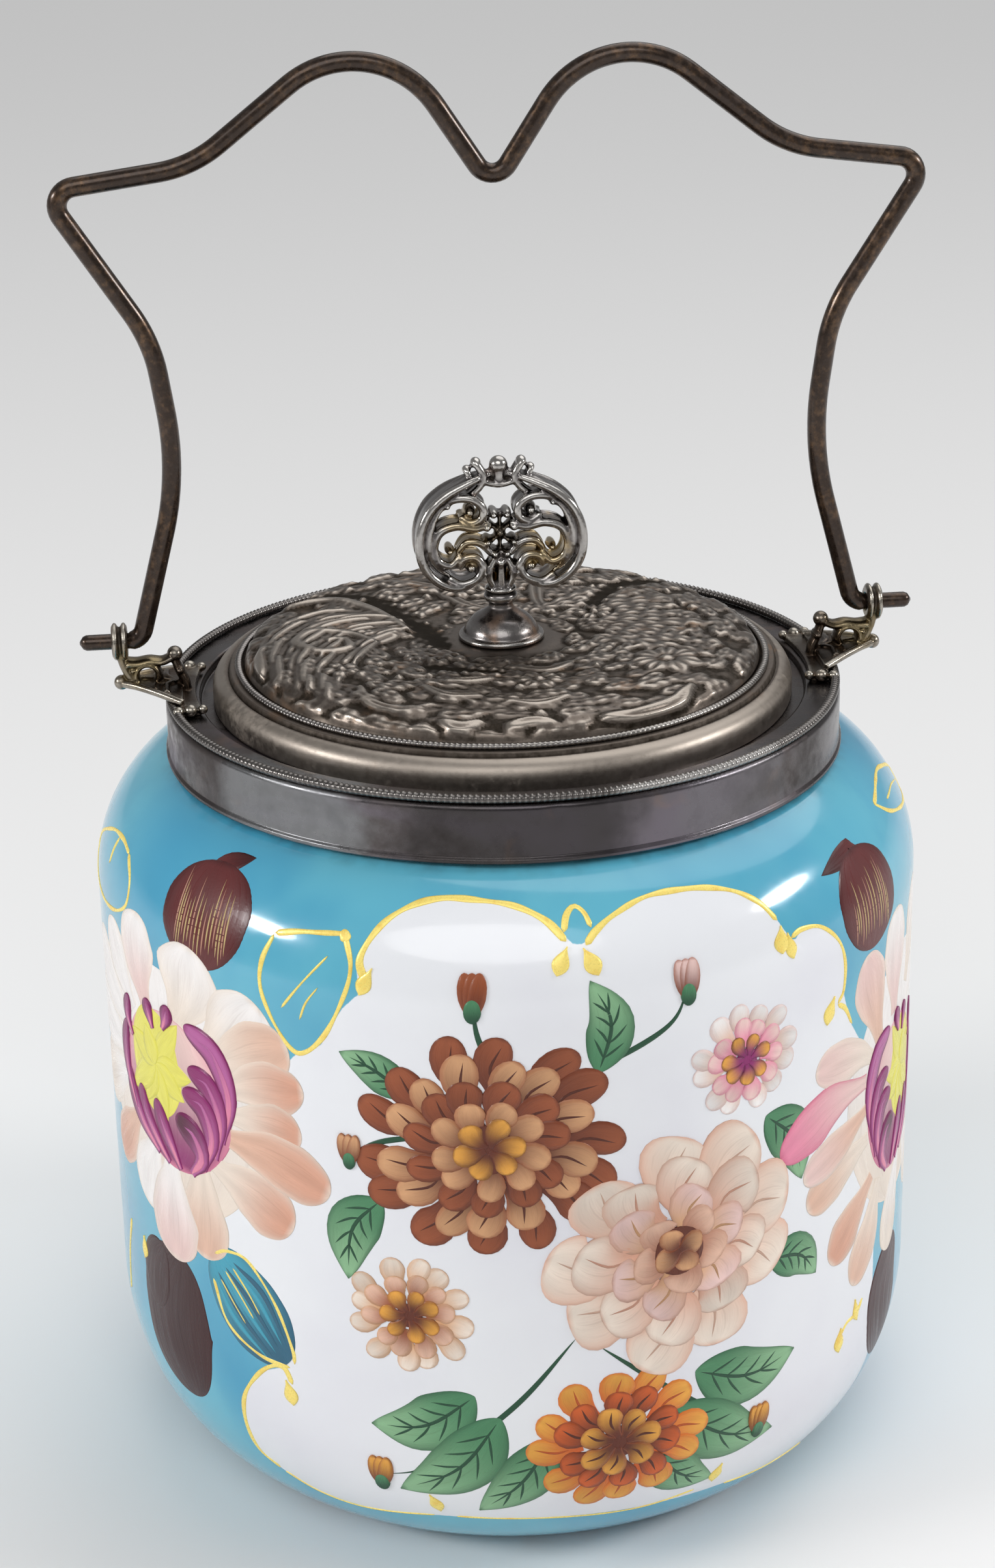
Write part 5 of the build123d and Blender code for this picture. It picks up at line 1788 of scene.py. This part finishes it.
        # Where soot lies the relief falls towards 0, so the troughs take the plate's darkest colour: painted
        # shade.
        values = np.concatenate([np.clip(proud, 0.12, 1) * (1 - painted_shade),
                                 np.broadcast_to(bead[:, None], (len(edge), len(turns))),
                                 np.full((len(under), len(turns)), 0.4)])
        satin = np.zeros(values.shape)
        satin[len(proud):len(proud) + len(edge)] = 1
        piece = weave(grid, ring=True, fields={"relief": values, "satin": satin}).build("chased_lid")
        dress(piece, chased, "lid", "lid_metal", "lid_dome")

        def worn(turn: Floats) -> Floats:
            """The ribs are rubbed away towards the right of the front."""
            return 0.3 + 0.7 * (0.5 - 0.5 * np.cos(turn - np.radians(40)))

        wire = milled_ring(self.wire_r, self.step_z, self.wire_half, 0.5, 0.84, 0.32, worn)
        dress(wire.build("lid_milling"), milled, "lid", "lid_metal", "lid_milled_wire")


# ---- Ears and bail ----

@dataclass
class Ear:
    """One cast ear, worked out for the +X side and mirrored for the other.

    Its parts are a beaded foot on the collar, a leaf over the rim's wire, a scroll that rises from
    the foot to a ball, a volute, and the eye that the bail's pin runs in.
    """

    name: str
    node: str
    side: int
    eye_x: float = 61.45
    eye_w: float = 2.6
    eye_r: float = 3.1
    bore_r: float = 1.46
    pivot_z: float = 143.302
    top_z: float = 133.4
    foot_in: float = 50.9
    foot_out: float = 54.2
    foot_half: float = 11.5
    voxel: float = 0.14

    def eye(self) -> Skin:
        """The eye: a bored ring along X with a waist between two beads."""
        x0, x1, big, bore = self.eye_x, self.eye_x + self.eye_w, self.eye_r, self.bore_r
        waist, rim = big - 0.75, big - 0.1
        outline = rounded([(bore, x0), (big - 0.7, x0), (big, x0 + 0.4), (rim, x0 + 0.8),
                           (waist, x0 + 1.15), (waist, x1 - 1.15), (rim, x1 - 0.8), (big, x1 - 0.4),
                           (big - 0.7, x1), (bore, x1)], 0.3, 4)
        turn = full_turn(36)
        r, x = outline[:, :1], outline[:, 1:]
        return weave(np.stack([np.broadcast_to(x, (len(r), 36)), r * np.sin(turn),
                               self.pivot_z + r * np.cos(turn)], axis=-1), ring=True)

    def foot(self) -> list[Skin]:
        """The foot's sector and the beads in a row at both of its ends."""
        angle = np.radians(np.linspace(-self.foot_half, self.foot_half, 24))
        middle, height = (self.foot_in + self.foot_out) / 2, np.full(24, self.top_z + 0.62)
        path = np.stack([middle * np.cos(angle), middle * np.sin(angle), height], axis=1)
        plate = swept(path, np.array([0.0, 0.0, 1.0]), (self.foot_out - self.foot_in) / 2, 0.6,
                      rounded([(-1, -1), (1, -1), (1, 1), (-1, 1)], 0.3, 4))
        return [plate] + [ball((radius * np.cos(turn), radius * np.sin(turn), self.top_z + 1.1), size)
                          for turn in np.radians((-11.8, 11.8))
                          for radius, size in ((50.9, 0.8), (52.9, 1.05), (54.9, 0.9))]

    def leaf(self) -> list[Skin]:
        """The leaf that reaches over the rim's wire: a dished blade with a rod along each edge."""
        path = in_plane(through([(53.0, 135.0), (56.5, 135.7), (60.0, 136.1), (62.8, 136.0)], 30))
        t = np.linspace(0, 1, 30)
        reach = 8.2 * (1 - t) ** 0.9 + 0.5
        up = np.array([0.0, 0.0, 1.0])
        skins = [swept(path, up, reach, 0.5, oval(16)), swept(path + (0, 0, 0.45), up, 0.7, 0.55, oval(10)),
                 ball((62.9, 0, 136.2), 1.25)]
        for way in (-1, 1):
            edge = path + np.stack([0 * t, way * reach, 0.15 + 0 * t], axis=1)
            skins.append(swept(edge, up, 0.62, 0.62, oval(10)))
            for k in range(3):
                start = 54.4 + 1.8 * k
                rib = [(start, way * 0.4, 135.9 + 0.1 * k), (start + 1.2, way * (2.4 - 0.4 * k), 136.1),
                       (start + 1.2, way * (5.4 - 1.5 * k), 135.9)]
                skins.append(swept(through(rib, 14), up, 0.55, 0.45, oval(8)))
        return skins

    def scroll(self) -> list[Skin]:
        """The post, the scroll band with its ball, the volute's ring and the arm under the eye."""
        t = np.linspace(0, 1, 40)
        band = [(61.9, 139.6), (60.1, 139.5), (58.1, 139.8), (56.1, 139.6), (54.4, 140.3)]
        ring = in_plane(arc((58.6, 137.5), 1.85, 0, 352, 44))
        return [
            bar(band, 2.0 - 0.4 * t, 0.85 - 0.15 * t),
            bar([(52.4, 134.4), (52.6, 136.2), (53.4, 138.0), (54.0, 139.8)], 1.6 - 0.3 * t, 0.9 - 0.2 * t),
            bar([(60.2, 136.2), (61.5, 137.6), (62.3, 139.4), (62.75, 141.4)], 1.6, 0.85),
            swept(ring, (0.0, 1.0, 0.0), 0.62, 1.9, oval(12), ring=True),
            ball((53.95, 0, 140.7), (1.3, 1.5, 1.3)), ball((53.3, 0, 138.1), (0.85, 1.9, 0.85)),
            ball((56.6, 0, 137.2), (0.7, 1.7, 0.7)), ball((60.9, 0, 138.5), (0.6, 2.1, 0.6))]

    def build(self, metal: Material) -> None:
        """Fuses the parts into one casting and dresses it."""
        skins = [self.eye()] + self.foot() + self.leaf() + self.scroll()
        if self.side < 0:
            for skin in skins:
                skin.points = skin.points * (-1, 1, 1)
                skin.outward()
        dress(fused(self.name, skins, self.voxel), metal, "jar", "cast_metal", self.node)


@dataclass
class Bail:
    """The wire handle: two waisted legs, two shoulders and a dip at the middle."""

    wire_r: float = 1.55
    pin_r: float = 1.3
    pin_x: float = 61.1
    end_x: float = 69.2
    pivot_z: float = 143.302
    leg: tuple[tuple[float, float, float], ...] = (
        (59.2, 143.302, 2.6), (51.5, 171.3, 50.0), (54.3, 192.5, 25.0), (69.4, 216.3, 3.0),
        (46.4, 219.3, 20.0), (17.8, 241.2, 15.6))
    dip: tuple[float, float] = (214.3, 2.9)

    def path(self) -> Floats:
        """The wire's middle line from the right pin over to the left one."""
        right = [(self.end_x, self.pivot_z, 0.0), *self.leg]
        corners = np.array([*right, (0.0, *self.dip), *((-x, z, r) for x, z, r in reversed(right))])
        return in_plane(evenly(rounded(corners[:, :2], corners[:, 2], 24, closed=False, reach=0.9), 620))

    def build(self, metal: Material) -> None:
        """Sweeps the wire, with thinner pins and domed ends, and dresses it.

        The radius runs smoothly from the wire's to the pin's over 0.6 mm, and the last bit of each
        pin shrinks as a quarter circle.
        """
        path = self.path()
        x = np.abs(path[:, 0])
        low = path[:, 2] < self.pivot_z + 1
        share = smooth_step(x, self.pin_x - 0.6, self.pin_x) * low
        radius = self.wire_r * (1 - share) + self.pin_r * share
        left = np.clip(1 - (x - (self.end_x - self.pin_r)) / self.pin_r, 0.02, 1)
        radius = np.where(low & (x > self.end_x - self.pin_r), radius * np.sqrt(1 - (1 - left) ** 2), radius)
        piece = swept(path, np.array([0.0, 1.0, 0.0]), radius, radius, oval(18)).build("bail_wire")
        dress(piece, metal, "bail", "bail_wire", "bail_handle")


# ---- Knob ----

@dataclass
class Knob:
    """The cast openwork onion on its turned foot."""

    foot_r: float = 7.2
    base_z: float = 140.6
    ring_z: float = 146.9
    ring_r: float = 2.8
    neck_r: float = 2.0
    finial_z: float = 148.5
    top_z: float = 171.5
    ball_r: float = 1.55
    voxel: float = 0.21

    def ribbon(self, points: Floats, reach: float, rod: float, taper: float) -> list[Skin]:
        """A deep band with a round rod along its front and its back edge.

        Args:
            points: (x, z) places of its line.
            reach: half of its depth along Y.
            rod: radius of the rods.
            taper: share of the reach and the rods that is left at both ends.
        """
        full = taper + (1 - taper) * np.sin(np.pi * np.linspace(0, 1, 70)) ** 0.5
        edges = [bar(points, rod * full, rod * full, 70, way * (reach * full - rod), 10) for way in (-1, 1)]
        return [bar(points, reach * full * 0.92, rod * 0.62, 70), *edges]

    def half(self, side: int) -> list[Skin]:
        """Everything that stands on one side of the knob's middle."""
        skins = []
        for *points, reach, rod, taper in (
                ((3.2, 168.3), (5.8, 167.3), (9, 165.7), (11.7, 163.2), (13.2, 159.6), (13.2, 155.6),
                 (11.6, 152.4), (8.8, 150.4), (5.8, 150.2), (3.8, 151.4), 3.9, 0.82, 0.55),
                ((7.8, 165.2), (10.4, 162.8), (11.7, 159.6), (11.7, 156.2), (10.4, 153.6), (8.4, 151.9),
                 3.5, 0.62, 0.4),
                ((9.6, 163.6), (7.6, 165), (4.9, 165), (3, 163.6), (3.1, 161.7), (4.9, 160.9), (6.6, 161.9),
                 3, 0.74, 0.8),
                ((1.7, 160.6), (4.2, 160), (7.2, 160.6), (9.9, 159.7), (11, 157.2), (10.3, 154.8),
                 (8.3, 153.9), (6.9, 155.2), 3.1, 0.78, 0.8),
                ((1.5, 155.4), (3.4, 157.4), (5.6, 157.6), (7, 156), 2.6, 0.66, 0.8),
                ((8.6, 151.7), (6.6, 150.6), (4.1, 151.4), (3.1, 153.4), (4.2, 155.1), (6.1, 154.9),
                 (6.8, 153.4), 3, 0.76, 0.85),
                ((5.2, 165), (3.3, 166.6), (2.6, 168.4), (3.6, 170.4), 1.8, 0.66, 0.9),
                ((8.6, 166), (6.4, 167.2), (4.9, 168.2), (5.2, 169.3), 1.6, 0.55, 0.9),
                ((0.9, 149.2), (1.9, 151.2), (1.7, 153.2), (0.7, 154.9), 2.2, 0.6, 0.8)):
            skins += self.ribbon(np.array(points) * (side, 1), reach, rod, taper)
        for x, z, size in ((3.7, 170.5, 0.9), (5.2, 169.4, 0.75), (1.75, 168.6, 0.75), (3.6, 168.0, 0.7)):
            skins.append(ball((side * x, 0, z), (size, size * 1.6, size)))
        for x, z, size in ((5.0, 162.7, 1.05), (1.1, 162.1, 0.85), (2.2, 159.9, 0.8), (2.1, 157.5, 0.8),
                           (1.0, 155.5, 0.85), (8.4, 156.3, 0.8), (4.9, 153.3, 1.1), (2.7, 152.2, 0.7),
                           (8.6, 163.8, 0.65)):
            skins.append(ball((side * x, 0, z), (size, 3.0, size)))
        return skins

    def finial(self) -> list[Skin]:
        """All of the casting's parts."""
        rods = [bar(points, half_w, half_h, 60) for *points, half_w, half_h in (
            ((0, 148.5), (0, 151), (0, 153.4), 2.2, 1.0), ((0, 153.2), (0, 154.6), (0, 156), 1.7, 0.7),
            ((-3.1, 167.6), (0, 166.9), (3.1, 167.6), 1.6, 0.7),
            ((0, 166.9), (0, 168), (0, 169.2), 1.4, 1.1),
            ((-2.4, 156.4), (0, 158.8), (2.4, 161.2), 1.5, 0.4),
            ((2.4, 156.4), (0, 158.8), (-2.4, 161.2), 1.5, 0.4),
            ((0, 155.4), (0, 158.8), (0, 162.4), 1.1, 0.35))]
        balls = [ball((0, 0, self.top_z - self.ball_r), self.ball_r, 16),
                 ball((0, 0, 149.1), (2.7, 2.7, 0.8)), ball((0, 0, 153.8), (0.9, 2.5, 1.2)),
                 ball((0, 0, 158.8), (1.0, 2.0, 1.0))]
        return self.half(1) + self.half(-1) + rods + balls

    def pedestal(self) -> Floats:
        """The foot's section: a rounded rim, a dome, a slim neck and a ring."""
        foot, neck, base = self.foot_r, self.neck_r, self.base_z
        dome = through([(foot - 0.9, base + 1.1), (foot - 1.4, base + 2.3), (4.6, base + 3.7),
                        (3.1, base + 4.6), (neck + 0.1, base + 5.3), (neck - 0.05, self.ring_z - 0.2)], 30)
        return trail(np.array([(1.5, base), (foot - 0.6, base)]),
                     arc((foot - 0.55, base + 0.5), 0.5, -80, 100, 10), dome,
                     arc((neck, self.ring_z + 0.85), (self.ring_r - neck, 0.85), -85, 85, 14),
                     np.array([(neck - 0.3, self.finial_z), (1.2, self.finial_z)]))

    def build(self, cast: Material, turned_metal: Material) -> None:
        """Builds the casting and the turned foot, and dresses both."""
        dress(fused("openwork_finial", self.finial(), self.voxel), cast, "lid", "knob_metal", "knob_finial")
        profile, base = self.pedestal(), self.base_z
        heights = [base, base + 0.8, base + 1.3, base + 2.6, self.ring_z - 0.8, self.ring_z + 0.8,
                   self.finial_z]
        relief = np.interp(profile[:, 1], heights, [0.25, 0.8, 0.3, 0.6, 0.2, 0.85, 0.15])
        fields = {"relief": np.repeat(relief[:, None], 96, axis=1)}
        foot = weave(turned(profile, full_turn(96)), fields=fields).build("turned_pedestal", 60)
        dress(foot, turned_metal, "lid", "knob_metal", "knob_pedestal")


# ---- Studio ----

@dataclass
class Studio:
    """Floor, lights, world and camera."""

    floor_half: float = 40.0
    floor_colour: Colour = (0.80, 0.80, 0.80)
    far_colour: Colour = (0.455, 0.455, 0.455)
    fade: tuple[float, float] = (2.2, 14.0)
    camera_at: tuple[float, float, float] = (-0.045587, -0.423769, 0.286992)
    camera_turn: tuple[float, float, float] = (67.9215, 1.0730, -6.4205)
    lens: float = 62.232
    sensor: float = 36.0

    def floor(self, effects: Effects) -> None:
        """Lays a wide pale floor that takes the world's own grey far away, so no horizon shows."""
        h = self.floor_half
        mesh = bpy.data.meshes.new("floor")
        mesh.from_pydata([(-h, -h, 0), (h, -h, 0), (h, h, 0), (-h, h, 0)], [], [(0, 1, 2, 3)])
        finish = PaleFloor("pale_floor", self.floor_colour, self.far_colour, self.fade)
        mesh.materials.append(finish.make(effects))
        linked("floor", mesh)

    def lamp(self, name: str, kind: str, towards: Floats, power: float, **sizes: object) -> Piece:
        """A soft lamp whose back points along a direction.

        Args:
            name: the lamp's name.
            kind: Blender's name for its type.
            towards: the direction.
            power: its strength.
            sizes: settings of its own data, by name.

        Returns:
            The lamp, linked to the scene.
        """
        data = bpy.data.lights.new(name, kind)
        data.energy = power
        for key, value in sizes.items():
            setattr(data, key, value)
        lamp = linked(name, data)
        lamp.rotation_euler = Vector(towards).to_track_quat("Z", "Y").to_euler()
        return lamp

    def lights(self) -> None:
        """Places the soft lamps, a very soft overhead light for the whole floor and an even pale world."""
        for name, place, width, depth, power in (
                ("left", (-1.1, -0.25, 0.60), 0.46, 0.17, 5.6),
                ("right", (1.1, -0.2, 0.66), 0.46, 0.17, 5.4), ("front", (-0.25, -1.3, 1.3), 1.7, 1.0, 9)):
            away = np.array(place) - (0, 0, 0.1)
            self.lamp(name, "AREA", away, power, shape="ELLIPSE", size=width, size_y=depth).location = place
        self.lamp("sky_light", "SUN", np.array([0.35, 0.45, 1.0]), 1.2, angle=np.radians(60.0))
        world = bpy.data.worlds.new("plain_world")
        world.use_nodes = True
        background = world.node_tree.nodes["Background"]
        background.inputs["Color"].default_value = (1, 1, 1, 1)
        background.inputs["Strength"].default_value = 0.30
        bpy.context.scene.world = world

    def camera(self) -> None:
        """Sets the camera at its viewing angle."""
        data = bpy.data.cameras.new("camera")
        data.lens, data.sensor_width, data.sensor_fit, data.clip_start = self.lens, self.sensor, "AUTO", 0.01
        camera = linked("camera", data)
        camera.location = self.camera_at
        camera.rotation_euler = Euler([np.radians(a) for a in self.camera_turn], "XYZ")
        bpy.context.scene.camera = camera

    def build(self, effects: Effects) -> None:
        """Sets the whole studio."""
        self.floor(effects)
        self.lights()
        self.camera()
        bpy.context.scene.view_settings.view_transform = "Standard"


# ---- Everything together ----

def corners(box: Sequence[object]) -> list[list[float]]:
    """A box as plain lists."""
    return [[float(x) for x in corner] for corner in box]


def main() -> None:
    """Builds every piece in order."""
    logging.basicConfig(level=logging.INFO, format="%(name)s %(message)s")
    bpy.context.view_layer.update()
    effects = Effects()
    Studio().build(effects)

    def plate(name: str, **looks: object) -> Material:
        """A silver plate with its own looks."""
        return SilverPlate(name, **looks).make(effects)

    form = JarForm()
    Glass(form).build(PaintedGlass("painted_opal").make(effects))
    gold = TwoTone("raised_gold", display(250, 226, 122), display(236, 194, 84), 300, 0.42, (0.22, 0.42),
                   (0.00003, 0.4), 0.15)
    Decoration(form).build(Enamel("painted_enamel").make(effects), gold.make(effects))
    # Painted reflections on the collar band: dark at the front middle, lighter to the front left and front
    # right, and dark again towards both ears.
    painted_reflections = (((-0.004, -0.056, 0.130), 0.022, (0.040, 0.036, 0.036), 0.75),
              ((-0.038, -0.041, 0.130), 0.017, (0.25, 0.262, 0.27), 0.6),
              ((0.030, -0.047, 0.129), 0.014, (0.17, 0.165, 0.175), 0.5),
              ((0.050, -0.026, 0.129), 0.016, (0.062, 0.055, 0.056), 0.65),
              ((-0.053, -0.023, 0.129), 0.014, (0.062, 0.055, 0.056), 0.55))
    Collar().build(
        # The collar plate's cloud paints a sheen: mauve and dark streaks that stand in for soft reflections.
        plate("collar_plate", metal=(0.135, 0.124, 0.127), tarnish=(0.085, 0.068, 0.062), gloss=0.24,
              cover=0.5, scale=40.0, warmth=0.2, cloud=0.55,
              patches=tuple(Patch(*stain) for stain in painted_reflections)),
        # A pale patch on the collar's milled rim at the front right is a painted highlight.
        plate("milled_plate", metal=(0.13, 0.12, 0.115), bright=(0.24, 0.225, 0.21), has_relief=True,
              cover=0.35, patches=(Patch((0.0245, -0.050, 0.1335), 0.018, (0.42, 0.405, 0.39), 0.75),)))
    Lid().build(
        # The chased plate's hollow colour also gives the painted shade in the lid's troughs.
        plate("chased_plate", metal=(0.142, 0.118, 0.100), tarnish=(0.080, 0.062, 0.050),
              bright=(0.37, 0.325, 0.282), hollow=(0.018, 0.013, 0.008), has_relief=True, gloss=0.36,
              cover=0.4, scale=90.0, warmth=0.3),
        plate("milled_lid_plate", bright=(0.36, 0.34, 0.31), has_relief=True, cover=0.3))
    # A golden tint on each ear's scroll band, and a dark patch on its post that paints the post's shade.
    tint_and_painted_shade = ((0.0590, 0.1395, 0.0060, (0.20, 0.155, 0.08)), (0.0520, 0.1355, 0.0085, (0.045, 0.028, 0.018)))
    cast = plate("cast_plate", metal=(0.150, 0.130, 0.108), tarnish=(0.07, 0.052, 0.040),
                 bright=(0.40, 0.368, 0.318), has_relief=True, cover=0.45, scale=120.0, warmth=0.35,
                 patches=tuple(Patch((side * x, 0.0, z), reach, colour, 0.85) for side in (-1, 1)
                               for x, z, reach, colour in tint_and_painted_shade))
    for name, node, side in (("left_cast_ear", "left_ear", -1), ("right_cast_ear", "right_ear", 1)):
        Ear(name, node, side).build(cast)
    Bail().build(BronzedWire("bronzed_wire").make(effects))
    Knob().build(
        plate("knob_plate", has_relief=True, cover=0.3, scale=160.0, gloss=0.22, warmth=0.3,
              # Warm golden tints on the inner scrolls, and a darker patch at the openwork's middle.
              patches=(Patch((-0.006, 0.0, 0.1585), 0.0062, (0.42, 0.32, 0.17), 0.7),
                       Patch((0.0075, 0.0, 0.156), 0.0056, (0.46, 0.34, 0.16), 0.7),
                       Patch((0.0, 0.0, 0.1588), 0.0038, (0.09, 0.066, 0.04), 0.8))),
        plate("pedestal_plate", has_relief=True, cover=0.45, scale=140.0, gloss=0.22, warmth=0.6))
    plaster = TwoTone("set_plaster", display(214, 208, 194), display(176, 160, 132), 120, 0.45, (0.8, 0.95),
                      (0.0003, 0.7))
    finish_node("cement_ring", plaster.make(effects))
    finish_node("lid_flange", plate("flange_plate", cover=0.7))
    brass = TwoTone("turned_brass", display(190, 150, 82), display(98, 66, 34), 260, 0.5, (0.32, 0.55),
                    (0.00005, 0.5), 1.0, True).make(effects)
    for node in ("knob_stud", "knob_washer", "knob_nut"):
        finish_node(node, brass)


if __name__ == "__main__":
    main()
